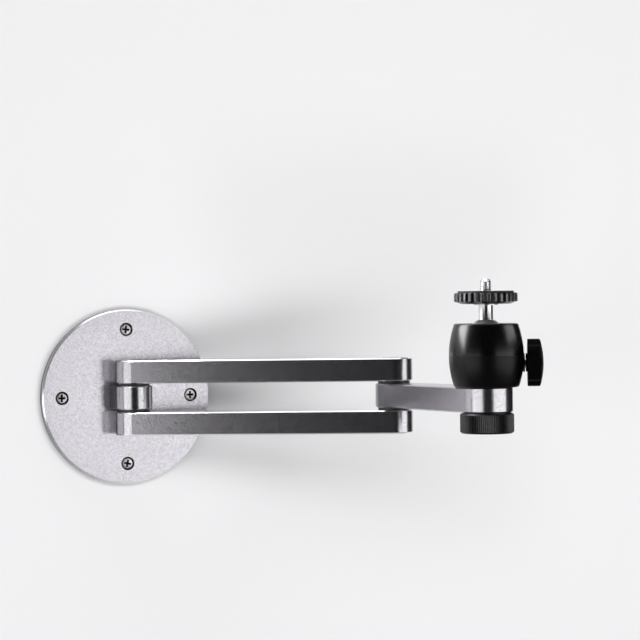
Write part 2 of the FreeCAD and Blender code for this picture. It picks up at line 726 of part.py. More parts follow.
def along_clamp(label, path):
    """A sub-part turned about the side clamp's axis, from a profile of place along it and radius."""
    body = new_body(label, HEAD_X, HEAD_Y, "%s + %s" % (HEAD_BASE_Z, CLAMP_Z), "-head_angle")
    turn(body, label + "_turned", draw(new_sketch(body, label + "_profile", "XZ_Plane"), path), "H_Axis")
    return body


def side_clamp():
    screw_r, boss_r = "clamp_screw_diameter / 2", "clamp_boss_diameter / 2"
    bush_bore = "(clamp_screw_diameter / 2 + running_clearance)"
    bush_end = "(%s + running_clearance)" % CAVITY_R
    along_clamp("clamp_bush", [
        (bush_end, bush_bore),
        (BOSS_END_X, bush_bore),
        (BOSS_END_X, boss_r),
        (BOSS_SEAT_X, boss_r),
        (BOSS_SEAT_X, "clamp_bush_diameter / 2"),
        (bush_end, "clamp_bush_diameter / 2"),
    ])
    tip = "(%s + clamp_tip_gap)" % WEDGE_END_X
    shoulder = "(%s + running_clearance)" % BOSS_END_X
    end = "(%s + knob_screw_depth)" % KNOB_BACK_X
    along_clamp("clamp_screw", [
        (tip, "0"),
        (tip, screw_r),
        (shoulder, screw_r),
        (shoulder, "clamp_waist_diameter / 2"),
        (KNOB_BACK_X, "clamp_waist_diameter / 2"),
        (KNOB_BACK_X, screw_r),
        (end, screw_r),
        (end, "0"),
    ])
    face = "(%s + knob_hub_length)" % KNOB_BACK_X
    outer = "(%s + knob_thickness)" % face
    corner = "(%s - knob_crown)" % outer
    knob_r = "knob_diameter / 2"
    crown_r = "((knob_diameter / 2 - knob_bevel)^2 / (2 * knob_crown) + knob_crown / 2)"
    body = along_clamp("clamp_knob", [
        (KNOB_BACK_X, screw_r),
        (KNOB_BACK_X, boss_r),
        (face, boss_r),
        (face, "%s - knob_bevel / 2" % knob_r),
        ("%s + knob_bevel / 2" % face, knob_r),
        ("%s - knob_bevel" % corner, knob_r),
        (corner, "%s - knob_bevel" % knob_r),
        (outer, "0", crown_r, -1),
        (end, "0"),
        (end, screw_r),
    ])
    scallop = draw_circle(new_sketch(body, "scallop_outline", "YZ_Plane", outer), "0",
                          "%s + knob_scallop_radius - knob_scallop_depth" % knob_r, "knob_scallop_radius")
    cut = pocket(body, "scallop", scallop, "knob_thickness")
    pattern(body, "scallops", [cut], "X_Axis", "knob_lobe_count")


def ball_and_stem():
    flat_r = "(stem_diameter / 2 + stem_flare)"
    flat_z = sphere_reach(BALL_R, flat_r)
    root_z = "(%s - stem_root_length)" % flat_z
    turned_part("ball", [
        ("0", "-" + BALL_R),
        (BALL_R, "0", BALL_R, 1),
        (flat_r, flat_z, BALL_R, 1),
        ("stem_root_diameter / 2", flat_z),
        ("stem_root_diameter / 2", root_z),
        ("0", root_z),
    ], HEAD_X, HEAD_Y, BALL_Z, "-head_angle")
    thread_r = "mounting_thread_diameter / 2"
    end = "(%s + mounting_thread_reach)" % PAD_TOP_Z
    turned_part("stem", [
        ("0", root_z),
        ("stem_root_diameter / 2", root_z),
        ("stem_root_diameter / 2", flat_z),
        (flat_r, flat_z),
        ("stem_diameter / 2", "%s + stem_flare" % flat_z, "stem_flare", -1),
        ("stem_diameter / 2", "stem_height"),
        (THREAD_CORE_R, "stem_height"),
        (THREAD_CORE_R, "%s + mounting_thread_gap" % PAD_TOP_Z),
        (thread_r, "%s + mounting_thread_gap" % PAD_TOP_Z),
        (thread_r, "%s - mounting_thread_bevel" % end),
        ("%s - mounting_thread_bevel" % thread_r, end),
        ("0", end),
    ], HEAD_X, HEAD_Y, BALL_Z, "-head_angle")


def lock_disc():
    rim = "lock_disc_diameter / 2"
    insert_r = "lock_insert_diameter / 2"
    insert_bore = "(%s + running_clearance)" % THREAD_CORE_R
    pad_bore = "(mounting_thread_diameter / 2 + running_clearance)"
    turned_part("lock_insert", tube(insert_bore, insert_r, "stem_height", DISC_TOP_Z),
                HEAD_X, HEAD_Y, BALL_Z, "-head_angle")
    body = turned_part("lock_disc", [
        (insert_r, DISC_Z),
        ("%s - lock_taper_width" % rim, DISC_Z),
        (rim, "%s + lock_taper_height" % DISC_Z),
        (rim, "%s - lock_disc_bevel" % DISC_TOP_Z),
        ("%s - lock_disc_bevel" % rim, DISC_TOP_Z),
        (insert_r, DISC_TOP_Z),
    ], HEAD_X, HEAD_Y, BALL_Z, "-head_angle")
    groove = draw_circle(new_sketch(body, "groove_outline", "XY_Plane", DISC_TOP_Z),
                         "%s + lock_groove_radius - lock_groove_depth" % rim, "0", "lock_groove_radius")
    cut = pocket(body, "groove", groove, "lock_disc_thickness")
    pattern(body, "ridges", [cut], "Z_Axis", "lock_ridge_count")
    turned_part("disc_pad", tube(pad_bore, "%s - pad_inset" % rim, DISC_TOP_Z, PAD_TOP_Z),
                HEAD_X, HEAD_Y, BALL_Z, "-head_angle")


wall_plate()
wall_screws()
knuckle()
knuckle_screws()
pivot_bush("knuckle_bush", "0", PIVOT_Y, "0")
long_bar("upper_bar", True)
long_bar("lower_bar", False)
for pivot, (pivot_x, pivot_y) in {"wall": ("0", PIVOT_Y), "elbow": (ELBOW_X, ELBOW_Y)}.items():
    pivot_bolt(pivot + "_pivot_bolt", pivot_x, pivot_y, "-arm_angle")
    pivot_nut(pivot + "_pivot_nut", pivot_x, pivot_y, "-arm_angle")
    pivot_washer("upper_%s_washer" % pivot, True, pivot_x, pivot_y, "-arm_angle")
    pivot_washer("lower_%s_washer" % pivot, False, pivot_x, pivot_y, "-arm_angle")
forearm()
pivot_bush("elbow_bush", ELBOW_X, ELBOW_Y, "-forearm_angle")
thumb_nut()
barrel_lower()
barrel_upper()
ball_seats()
clamp_wedge()
side_clamp()
ball_and_stem()
lock_disc()

doc.recompute()
for item in doc.Objects:
    if {"Invalid", "Error"} & set(item.State):
        raise RuntimeError("%s failed" % item.Name)
for part in PARTS:
    if part.Shape.isNull() or not part.Shape.isValid() or not part.Shape.Solids:
        raise RuntimeError("%s has no sound solid" % part.Label)

os.makedirs("parts", exist_ok=True)
for part in PARTS:
    part.Shape.exportStep("parts/%s.step" % part.Label)
    print("%-20s %d solid(s), %9.1f mm3" % (part.Label, len(part.Shape.Solids), part.Shape.Volume))
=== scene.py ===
import logging
import math
from dataclasses import dataclass
from enum import Enum
from typing import Iterable, Optional, Sequence, Union

import bmesh
import bpy
from mathutils import Matrix, Vector


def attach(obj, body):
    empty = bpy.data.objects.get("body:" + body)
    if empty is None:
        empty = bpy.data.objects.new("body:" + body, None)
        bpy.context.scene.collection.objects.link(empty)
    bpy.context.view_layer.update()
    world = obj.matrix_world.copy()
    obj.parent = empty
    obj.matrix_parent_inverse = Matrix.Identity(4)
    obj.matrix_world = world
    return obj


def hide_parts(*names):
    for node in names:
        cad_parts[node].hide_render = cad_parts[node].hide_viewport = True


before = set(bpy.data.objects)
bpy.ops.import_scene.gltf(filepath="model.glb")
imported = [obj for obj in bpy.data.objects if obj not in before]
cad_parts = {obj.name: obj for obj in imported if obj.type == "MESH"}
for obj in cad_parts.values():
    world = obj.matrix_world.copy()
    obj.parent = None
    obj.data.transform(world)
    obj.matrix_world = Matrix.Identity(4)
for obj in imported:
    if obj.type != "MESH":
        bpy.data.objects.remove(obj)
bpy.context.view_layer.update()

LOG = logging.getLogger("wall_mount")
MM = 0.001
TURN = 2 * math.pi
SHARP_EDGE = math.radians(28)

Colour = tuple[float, float, float]
Place = tuple[float, float, float]
Span = tuple[float, float]
Profile = list[tuple[float, float]]
Socket = bpy.types.NodeSocket
Feed = Union[Socket, bool, float, Colour, None]

# Places that the sub-assemblies share, in millimetres and degrees.
HEAD_X, HEAD_Y = 151.467, -162.777
HEAD_HEADING = -26.5
BLOCK_TOP = 6.7
BALL_Z = 33.1
CLAMP_Z = 19.6

# The middles of the chamfers on the bars, the forearm and the knuckle, above and below the mount's middle.
CHAMFER_HEIGHTS = (8.5, 20.9)

# Where the values of a noise mostly lie, and a narrower span that shows it as patches.
NOISE_SPAN: Span = (0.3, 0.7)
PATCH_SPAN: Span = (0.35, 0.65)


class Reach(Enum):
    """Which surfaces take a lamp's light."""

    ALL = "all"
    MATT = "matt"
    SHINY = "shiny"


class Body(Enum):
    """The rigid bodies that the made pieces ride on."""

    BASE = "base"
    THUMB_SCREW = "thumb_screw"
    SIDE_KNOB = "side_knob"
    BALL_STEM = "ball_stem"
    DISC = "disc"


class Fall(Enum):
    """How a ridge's flank runs from its crest down into the groove."""

    STRAIGHT = "LINEAR"
    ROUND = "SMOOTHSTEP"


def at(x: float, y: float, z: float, heading: float = 0.0) -> Matrix:
    """A place in the mount's frame with its own +Z upright, in millimetres and degrees."""
    return Matrix.Translation(Vector((x, y, z)) * MM) @ Matrix.Rotation(math.radians(heading), 4, "Z")


def live(sockets: Iterable[Socket], name: str) -> Socket:
    """The socket of that name which a node uses with its present settings."""
    return next(socket for socket in sockets if socket.name == name and socket.enabled)


class Nodes:
    """Adds nodes to a shader or geometry tree and wires them up."""

    def __init__(self, tree: bpy.types.NodeTree) -> None:
        """Takes the tree that the nodes go into."""
        self.tree = tree

    def add(self, kind: str, *feeds: Feed, **settings: object) -> bpy.types.Node:
        """Adds a node.

        Args:
            kind: the node's type name.
            feeds: what goes into its inputs in order: a socket, a value, or None to leave the input alone.
            settings: values for the node's own properties.

        Returns:
            The new node.
        """
        node = self.tree.nodes.new(kind)
        for name, value in settings.items():
            setattr(node, name, value)
        for socket, feed in zip(node.inputs, feeds):
            self.feed(socket, feed)
        return node

    def feed(self, socket: Socket, feed: Feed) -> None:
        """Links a socket to an input, or sets the input's value.

        Args:
            socket: the input.
            feed: a socket, a value, or None to leave the input alone.
        """
        if isinstance(feed, Socket):
            self.tree.links.new(feed, socket)
        elif feed is not None:
            socket.default_value = feed

    def maths(self, operation: str, *feeds: Feed) -> Socket:
        """The result of a Math node."""
        return self.add("ShaderNodeMath", *feeds, operation=operation).outputs[0]

    def fit(self, value: Feed, low: Feed, high: Feed, new_low: Feed, new_high: Feed,
            fall: Fall = Fall.STRAIGHT) -> Socket:
        """Maps a value from one range onto another and holds it inside.

        Args:
            value: the socket to read.
            low: where the old range starts.
            high: where the old range ends.
            new_low: the result at low.
            new_high: the result at high.
            fall: the shape of the way between.

        Returns:
            The mapped socket.
        """
        node = self.add("ShaderNodeMapRange", value, low, high, new_low, new_high,
                        interpolation_type=fall.value)
        return node.outputs[0]

    def axes(self, vector: Socket) -> Sequence[Socket]:
        """The three parts of a vector."""
        return self.add("ShaderNodeSeparateXYZ", vector).outputs

    def vector(self, *parts: Feed) -> Socket:
        """A vector from its three parts."""
        return self.add("ShaderNodeCombineXYZ", *parts).outputs[0]

    def length(self, *parts: Feed) -> Socket:
        """The length of a vector from its three parts."""
        return self.add("ShaderNodeVectorMath", self.vector(*parts), operation="LENGTH").outputs["Value"]


class ShaderNodes(Nodes):
    """Shader nodes that several finishes use."""

    def spot(self) -> Socket:
        """The place on the surface, in metres."""
        return self.add("ShaderNodeTexCoord").outputs["Object"]

    def noise(self, spot: Socket, grain: float, detail: float = 2.0,
              stretch: Optional[Place] = None) -> Socket:
        """Noise with grains of a given size.

        Args:
            spot: the place on the surface.
            grain: the size of a grain in millimetres.
            detail: how many finer layers are added.
            stretch: how much finer the noise runs along each axis.

        Returns:
            A value about one half.
        """
        if stretch is not None:
            spot = self.add("ShaderNodeMapping", spot, None, None, stretch).outputs[0]
        node = self.add("ShaderNodeTexNoise")
        self.feed(node.inputs["Vector"], spot)
        node.inputs["Scale"].default_value = 1.0 / (grain * MM)
        node.inputs["Detail"].default_value = detail
        return node.outputs["Fac"]

    def mixed(self, share: Feed, first: Feed, second: Feed) -> Socket:
        """Mixes two colours.

        Args:
            share: how much of the second colour there is.
            first: the colour at a share of zero.
            second: the colour at a share of one.

        Returns:
            The mixed colour.
        """
        node = self.add("ShaderNodeMix", data_type="RGBA")
        for name, feed in (("Factor", share), ("A", first), ("B", second)):
            if isinstance(feed, tuple):
                feed = (*feed, 1.0)
            self.feed(live(node.inputs, name), feed)
        return live(node.outputs, "Result")

    def band(self, value: Socket, middle: float, half: float) -> Socket:
        """One where a length lies within a band given in millimetres, else zero."""
        return self.maths("COMPARE", value, middle * MM, half * MM)

    def bumped(self, height: Socket, strength: float, depth: float) -> Socket:
        """Tilts the surface's normal by a height.

        Args:
            height: the height, from zero to one.
            strength: how much of the tilt is used.
            depth: how deep a height of one is, in millimetres.

        Returns:
            The tilted normal.
        """
        node = self.add("ShaderNodeBump")
        node.inputs["Strength"].default_value = strength
        node.inputs["Distance"].default_value = depth * MM
        self.feed(node.inputs["Height"], height)
        return node.outputs["Normal"]


@dataclass(frozen=True)
class Finish:
    """What every finish has: a name, a colour and how rough it is."""

    name: str
    colour: Colour
    roughness: float

    def start(self) -> tuple[bpy.types.Material, ShaderNodes, bpy.types.Node]:
        """Starts the finish's material.

        Returns:
            The new material, its nodes and its main shader.
        """
        material = bpy.data.materials.new(self.name)
        material.use_nodes = True
        material.diffuse_color = (*self.colour, 1.0)
        shader = material.node_tree.nodes["Principled BSDF"]
        shader.inputs["Roughness"].default_value = self.roughness
        return material, ShaderNodes(material.node_tree), shader

    def shades(self, nodes: ShaderNodes, share: Socket, spread: float) -> Socket:
        """Spreads the finish's colour into shades.

        Args:
            nodes: the material's nodes.
            share: zero for the darkest shade and one for the lightest.
            spread: how far the shades run from the colour, as a share of it.

        Returns:
            The shaded colour.
        """
        dark = tuple(c * (1 - spread) for c in self.colour)
        light = tuple(min(1.0, c * (1 + spread)) for c in self.colour)
        return nodes.mixed(share, dark, light)

    def uneven(self, nodes: ShaderNodes, noise: Socket, swing: float) -> Socket:
        """The finish's roughness, which a noise swings both ways."""
        return nodes.fit(noise, *NOISE_SPAN, self.roughness - swing, self.roughness + swing)

    def material(self) -> bpy.types.Material:
        """The finished material."""
        raise NotImplementedError


@dataclass(frozen=True)
class BlastedAluminium(Finish):
    """Bead-blasted, anodised aluminium with cut edges that stay brighter.

    The cut edges are given as levels in millimetres: the middle of each chamfer. Grains are millimetres too.
    """

    metal: float = 1.0
    grain: float = 0.42
    spread: float = 0.10
    coarser: float = 2.2
    coarse_share: float = 0.3
    speckle_span: Span = (0.45, 0.85)
    swing: float = 0.05
    sparkle: float = 0.35
    sparkle_depth: float = 0.05
    edge_levels: tuple[float, ...] = ()
    edge_half: float = 0.34
    edge_colour: Colour = (0.86, 0.86, 0.88)
    edge_roughness: float = 0.16

    def edges(self, nodes: ShaderNodes, spot: Socket) -> Socket:
        """Marks the cut edges.

        Args:
            nodes: the material's nodes.
            spot: the place on the surface.

        Returns:
            One on the cut edges, else zero.
        """
        height = nodes.axes(spot)[2]
        total, *others = [nodes.band(height, level, self.edge_half) for level in self.edge_levels]
        for band in others:
            total = nodes.maths("MAXIMUM", total, band)
        return total

    def colours(self, nodes: ShaderNodes, spot: Socket, speckle: Socket) -> Socket:
        """The blasted colour with its grain."""
        return self.shades(nodes, speckle, self.spread)

    def material(self) -> bpy.types.Material:
        """Makes fine grain in colour, roughness and bump, with bright cut edges.

        Returns:
            The material.
        """
        material, nodes, shader = self.start()
        spot = nodes.spot()
        fine = nodes.noise(spot, self.grain, detail=1.0)
        coarse = nodes.noise(spot, self.grain * self.coarser, detail=1.0)
        grains = nodes.maths("ADD", fine, nodes.maths("MULTIPLY", coarse, self.coarse_share))
        colour = self.colours(nodes, spot, nodes.fit(grains, *self.speckle_span, 0.0, 1.0))
        rough = self.uneven(nodes, fine, self.swing)
        edge = self.edges(nodes, spot)
        shader.inputs["Metallic"].default_value = self.metal
        nodes.feed(shader.inputs["Base Color"], nodes.mixed(edge, colour, self.edge_colour))
        nodes.feed(shader.inputs["Roughness"], nodes.fit(edge, 0.0, 1.0, rough, self.edge_roughness))
        nodes.feed(shader.inputs["Normal"], nodes.bumped(fine, self.sparkle, self.sparkle_depth))
        return material


@dataclass(frozen=True)
class PlateAluminium(BlastedAluminium):
    """The wall plate's finish: a bright cut rim, painted shade on the side next to the wall, and painted
    shade in the countersinks.

    The front and the side's front are given as y, and the others as depths or as reach from the middle.
    """

    front: float = -5.0
    chamfer_middle: float = 0.4
    rim_start: float = 46.0
    sink_start: float = 0.06
    sink_depth: float = 1.95
    # Painted shade: the colour that darkens the countersinks round the screw heads.
    countersink_shade_colour: Colour = (0.012, 0.012, 0.012)
    side_start: float = 49.9
    side_front: float = -2.6
    # Painted shade: the colour of the plate's side next to the wall.
    side_shade_colour: Colour = (0.09, 0.085, 0.095)

    def depth_and_reach(self, nodes: ShaderNodes, spot: Socket) -> tuple[Socket, Socket]:
        """How far a place lies out of the wall, and how far from the plate's middle."""
        x, y, z = nodes.axes(spot)
        return y, nodes.length(x, 0.0, z)

    def edges(self, nodes: ShaderNodes, spot: Socket) -> Socket:
        """Marks the chamfer round the front.

        Args:
            nodes: the material's nodes.
            spot: the place on the surface.

        Returns:
            One on the chamfer, else zero.
        """
        y, reach = self.depth_and_reach(nodes, spot)
        outside = nodes.maths("GREATER_THAN", reach, self.rim_start * MM)
        chamfer = nodes.band(y, self.front + self.chamfer_middle, self.edge_half)
        return nodes.maths("MULTIPLY", outside, chamfer)

    def colours(self, nodes: ShaderNodes, spot: Socket, speckle: Socket) -> Socket:
        """Paints shade into the blasted colour inside the countersinks and along the side next to the wall.

        Args:
            nodes: the material's nodes.
            spot: the place on the surface.
            speckle: the grain, from zero to one.

        Returns:
            The plate's colour.
        """
        y, reach = self.depth_and_reach(nodes, spot)
        # Painted shade inside the countersinks, in a band of depth behind the front.
        inside = nodes.maths("LESS_THAN", reach, self.rim_start * MM)
        middle = self.front + self.sink_depth / 2 + self.sink_start
        countersink_shade = nodes.maths("MULTIPLY", inside, nodes.band(y, middle, self.sink_depth / 2))
        # Painted shade on the plate's side next to the wall.
        side = nodes.maths("MULTIPLY", nodes.maths("GREATER_THAN", reach, self.side_start * MM),
                           nodes.maths("GREATER_THAN", y, self.side_front * MM))
        faced = nodes.mixed(side, super().colours(nodes, spot, speckle), self.side_shade_colour)
        return nodes.mixed(countersink_shade, faced, self.countersink_shade_colour)


@dataclass(frozen=True)
class MachinedSteel(Finish):
    """Turned and plated metal: fine lathe lines, a faint tarnish, and painted shade in a recess where one is
    given.
    """

    lines: float = 0.12
    lines_stretch: Place = (0.15, 0.15, 1.0)
    lines_strength: float = 0.25
    lines_depth: float = 0.01
    swing_share: float = 0.25
    tarnish: float = 2.5
    spread: float = 0.12
    recess_face: Optional[float] = None
    recess_start: float = 0.12
    recess_depth: float = 3.2
    recess_shade_colour: Colour = (0.012, 0.012, 0.012)

    def material(self) -> bpy.types.Material:
        """Makes lathe lines in roughness and bump, and tarnish in the colour.

        Returns:
            The material.
        """
        material, nodes, shader = self.start()
        spot = nodes.spot()
        turned = nodes.noise(spot, self.lines, detail=1.0, stretch=self.lines_stretch)
        tarnish = nodes.fit(nodes.noise(spot, self.tarnish, detail=3.0), *PATCH_SPAN, 0.0, 1.0)
        colour = self.shades(nodes, tarnish, self.spread)
        # Painted shade: darkens the cross recess below the head's face.
        if self.recess_face is not None:
            middle = self.recess_face + self.recess_start + self.recess_depth / 2
            recess = nodes.band(nodes.axes(spot)[1], middle, self.recess_depth / 2)
            colour = nodes.mixed(recess, colour, self.recess_shade_colour)
        shader.inputs["Metallic"].default_value = 1.0
        nodes.feed(shader.inputs["Base Color"], colour)
        nodes.feed(shader.inputs["Roughness"], self.uneven(nodes, turned, self.roughness * self.swing_share))
        nodes.feed(shader.inputs["Normal"], nodes.bumped(turned, self.lines_strength, self.lines_depth))
        return material


@dataclass(frozen=True)
class Lacquer(Finish):
    """Black lacquer over metal, glossy or satin, with a dark line where two shells meet."""

    gloss_index: float
    peel_grain: float = 1.6
    peel_strength: float = 0.12
    peel_depth: float = 0.05
    dust_grain: float = 0.35
    dust_span: Span = (0.45, 0.75)
    dust_spread: float = 0.35
    smoother: float = 0.02
    rougher: float = 0.03
    seam: float = 23.8
    seam_half: float = 0.14
    seam_colour: Colour = (0.002, 0.002, 0.002)

    def material(self) -> bpy.types.Material:
        """Makes a soft orange peel in the bump, faint dust in colour and roughness, and the seam.

        Returns:
            The material.
        """
        material, nodes, shader = self.start()
        spot = nodes.spot()
        peel = nodes.noise(spot, self.peel_grain)
        dust = nodes.fit(nodes.noise(spot, self.dust_grain), *self.dust_span, 0.0, 1.0)
        colour = self.shades(nodes, dust, self.dust_spread)
        seam = nodes.band(nodes.axes(spot)[2], self.seam, self.seam_half)
        rough = nodes.fit(dust, 0.0, 1.0, self.roughness - self.smoother, self.roughness + self.rougher)
        nodes.feed(shader.inputs["Base Color"], nodes.mixed(seam, colour, self.seam_colour))
        nodes.feed(shader.inputs["Roughness"], rough)
        nodes.feed(shader.inputs["Normal"], nodes.bumped(peel, self.peel_strength, self.peel_depth))
        shader.inputs["IOR"].default_value = self.gloss_index
        return material


@dataclass(frozen=True)
class Moulded(Finish):
    """Moulded plastic or rubber with a fine eroded texture."""

    grain: float = 0.3
    texture: float = 0.3
    texture_depth: float = 0.03
    swing: float = 0.06
    cloud: float = 4.0
    spread: float = 0.15
    gloss_index: float = 1.5

    def material(self) -> bpy.types.Material:
        """Makes a fine texture in bump and roughness, and a faint mottling in the colour.

        Returns:
            The material.
        """
        material, nodes, shader = self.start()
        spot = nodes.spot()
        fine = nodes.noise(spot, self.grain)
        cloud = nodes.fit(nodes.noise(spot, self.cloud), *NOISE_SPAN, 0.0, 1.0)
        nodes.feed(shader.inputs["Base Color"], self.shades(nodes, cloud, self.spread))
        nodes.feed(shader.inputs["Roughness"], self.uneven(nodes, fine, self.swing))
        nodes.feed(shader.inputs["Normal"], nodes.bumped(fine, self.texture, self.texture_depth))
        shader.inputs["IOR"].default_value = self.gloss_index
        return material


@dataclass(frozen=True)
class BlackAnodised(Finish):
    """Black anodised aluminium whose crests are rubbed a little brighter.

    The crests stand at a radius about an upright axis, and the wear runs down a share of their depth.
    """

    crest: float = 14.5
    centre: tuple[float, float] = (HEAD_X, HEAD_Y)
    depth: float = 0.4
    worn: Colour = (0.16, 0.16, 0.165)
    worn_share: float = 0.35
    patch: float = 1.2
    least_patch: float = 0.35
    grain: float = 0.25
    spread: float = 0.2
    swing: float = 0.05
    texture: float = 0.2
    texture_depth: float = 0.02

    def material(self) -> bpy.types.Material:
        """Makes a black metal that lightens in patches towards the crests of its ridges.

        Returns:
            The material.
        """
        material, nodes, shader = self.start()
        spot = nodes.spot()
        to_axis = (-self.centre[0] * MM, -self.centre[1] * MM, 0.0)
        x, y, _ = nodes.axes(nodes.add("ShaderNodeMapping", spot, to_axis).outputs[0])
        rubbed = nodes.fit(nodes.length(x, y, 0.0), (self.crest - self.depth * self.worn_share) * MM,
                           self.crest * MM, 0.0, 1.0)
        patches = nodes.fit(nodes.noise(spot, self.patch, detail=3.0), *PATCH_SPAN, self.least_patch, 1.0)
        wear = nodes.maths("MULTIPLY", rubbed, patches)
        fine = nodes.noise(spot, self.grain)
        black = self.shades(nodes, fine, self.spread)
        shader.inputs["Metallic"].default_value = 1.0
        nodes.feed(shader.inputs["Base Color"], nodes.mixed(wear, black, self.worn))
        nodes.feed(shader.inputs["Roughness"], self.uneven(nodes, fine, self.swing))
        nodes.feed(shader.inputs["Normal"], nodes.bumped(fine, self.texture, self.texture_depth))
        return material


@dataclass(frozen=True)
class Paint(Finish):
    """Matt paint with a faint roller texture. A one-sided sheet lets light and sight through from behind."""

    one_sided: bool = False
    roller: float = 2.5
    lift: float = 1.01
    specular: float = 0.1

    def material(self) -> bpy.types.Material:
        """Makes the paint, clear from behind where only its face is to be seen.

        Returns:
            The material.
        """
        material, nodes, shader = self.start()
        texture = nodes.noise(nodes.spot(), self.roller)
        light = tuple(min(1.0, c * self.lift) for c in self.colour)
        nodes.feed(shader.inputs["Base Color"], nodes.mixed(texture, self.colour, light))
        shader.inputs["Specular IOR Level"].default_value = self.specular
        if self.one_sided:
            clear = nodes.add("ShaderNodeBsdfTransparent").outputs[0]
            back = nodes.add("ShaderNodeNewGeometry").outputs["Backfacing"]
            either = nodes.add("ShaderNodeMixShader", back, shader.outputs[0], clear)
            nodes.feed(material.node_tree.nodes["Material Output"].inputs["Surface"], either.outputs[0])
        return material


class Finishes:
    """All finishes of the mount, made once and looked up by name."""

    def __init__(self) -> None:
        """Makes every material."""
        silver = PlateAluminium("silver_aluminium", (0.482, 0.466, 0.50), 0.2, metal=0.75, grain=0.64,
                                spread=0.26, edge_roughness=0.22)
        grey = BlastedAluminium("grey_aluminium", (0.45, 0.437, 0.463), 0.22, spread=0.28, sparkle=0.2,
                                edge_levels=tuple(s * h for h in CHAMFER_HEIGHTS for s in (-1, 1)))
        disc_black = BlackAnodised("disc_black", (0.03, 0.03, 0.032), 0.3, crest=17.0, depth=0.8,
                                   worn=(0.2, 0.2, 0.205))
        self.made: dict[str, bpy.types.Material] = {finish.name: finish.material() for finish in (
            silver, grey, disc_black,
            MachinedSteel("zinc_steel", (0.62, 0.62, 0.64), 0.28),
            MachinedSteel("screw_steel", (0.66, 0.66, 0.66), 0.32, recess_face=-4.2),
            MachinedSteel("insert_brass", (0.72, 0.55, 0.24), 0.3),
            MachinedSteel("ball_steel", (0.46, 0.46, 0.47), 0.4),
            MachinedSteel("stem_chrome", (0.78, 0.78, 0.79), 0.2, spread=0.05),
            BlackAnodised("thumb_nut_black", (0.038, 0.037, 0.039), 0.36, worn=(0.12, 0.12, 0.125)),
            Lacquer("gloss_lacquer", (0.001, 0.001, 0.001), 0.26, gloss_index=1.4),
            Lacquer("satin_lacquer", (0.002, 0.002, 0.002), 0.34, gloss_index=1.3),
            Moulded("washer_plastic", (0.02, 0.02, 0.02), 0.38),
            Moulded("bush_plastic", (0.78, 0.76, 0.70), 0.5),
            Moulded("knob_plastic", (0.002, 0.002, 0.002), 0.4, texture=0.15, gloss_index=1.07),
            Moulded("pad_rubber", (0.025, 0.025, 0.026), 0.75, grain=0.4),
        )}

    def __getitem__(self, name: str) -> bpy.types.Material:
        """A finish by its name."""
        return self.made[name]

    def dress(self, finish: str, *nodes: str) -> None:
        """Gives CAD nodes a finish.

        Args:
            finish: the finish's name.
            nodes: the names of the nodes.
        """
        for node in nodes:
            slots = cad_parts[node].data.materials
            slots.clear()
            slots.append(self[finish])
            LOG.info("%s wears %s", node, finish)


def lathe(profile: Profile, steps: int, closed: bool = False) -> bmesh.types.BMesh:
    """Turns a profile about +Z.

    Args:
        profile: corners as radius and height, in millimetres. A radius of zero makes a pole.
        steps: how many facets go round.
        closed: whether the last corner joins the first, as on a ring.

    Returns:
        The turned surface, with merged seams and outward faces.
    """
    mesh = bmesh.new()
    rings = []
    for radius, height in profile:
        count = 1 if radius == 0 else steps
        rings.append([mesh.verts.new((radius * MM * math.cos(TURN * i / steps),
                                      radius * MM * math.sin(TURN * i / steps), height * MM))
                      for i in range(count)])
    pairs = list(zip(rings, rings[1:])) + ([(rings[-1], rings[0])] if closed else [])
    for lower, upper in pairs:
        for i in range(steps):
            j = (i + 1) % steps
            corners = [lower[i % len(lower)], lower[j % len(lower)],
                       upper[j % len(upper)], upper[i % len(upper)]]
            unique = list(dict.fromkeys(corners))
            if len(unique) > 2:
                mesh.faces.new(unique)
    bmesh.ops.recalc_face_normals(mesh, faces=mesh.faces)
    return mesh


def rounded(start: Span, corner: Span, end: Span, steps: int) -> Profile:
    """Bends smoothly between two profile points.

    Args:
        start: where the bend starts.
        corner: the corner that it is drawn towards.
        end: where the bend ends.
        steps: how many straight pieces it has.

    Returns:
        The bend's points, both ends with them.
    """
    made = []
    for i in range(steps + 1):
        t = i / steps
        made.append(tuple((1 - t) ** 2 * a + 2 * t * (1 - t) * b + t ** 2 * c
                          for a, b, c in zip(start, corner, end)))
    return made


def shown(name: str, data: bpy.types.Mesh) -> bpy.types.Object:
    """Links a mesh into the scene, smooth but for its sharp edges.

    Args:
        name: the new object's name.
        data: the mesh.

    Returns:
        The object, at the origin.
    """
    data.shade_smooth()
    data.set_sharp_from_angle(angle=SHARP_EDGE)
    made = bpy.data.objects.new(name, data)
    bpy.context.scene.collection.objects.link(made)
    return made


def new_object(name: str, mesh: bmesh.types.BMesh) -> bpy.types.Object:
    """Puts a bmesh into a new object.

    Args:
        name: the new object's name.
        mesh: the bmesh, which is freed.

    Returns:
        The object, at the origin.
    """
    data = bpy.data.meshes.new(name)
    mesh.to_mesh(data)
    mesh.free()
    return shown(name, data)


def plain(piece: bpy.types.Object) -> bpy.types.Object:
    """Applies a piece's modifiers.

    Args:
        piece: the object with modifiers. It is removed.

    Returns:
        A plain mesh object of the same name.
    """
    data = bpy.data.meshes.new_from_object(piece.evaluated_get(bpy.context.evaluated_depsgraph_get()))
    name = piece.name
    piece.modifiers.clear()
    bpy.data.objects.remove(piece)
    data.name = name
    return shown(name, data)


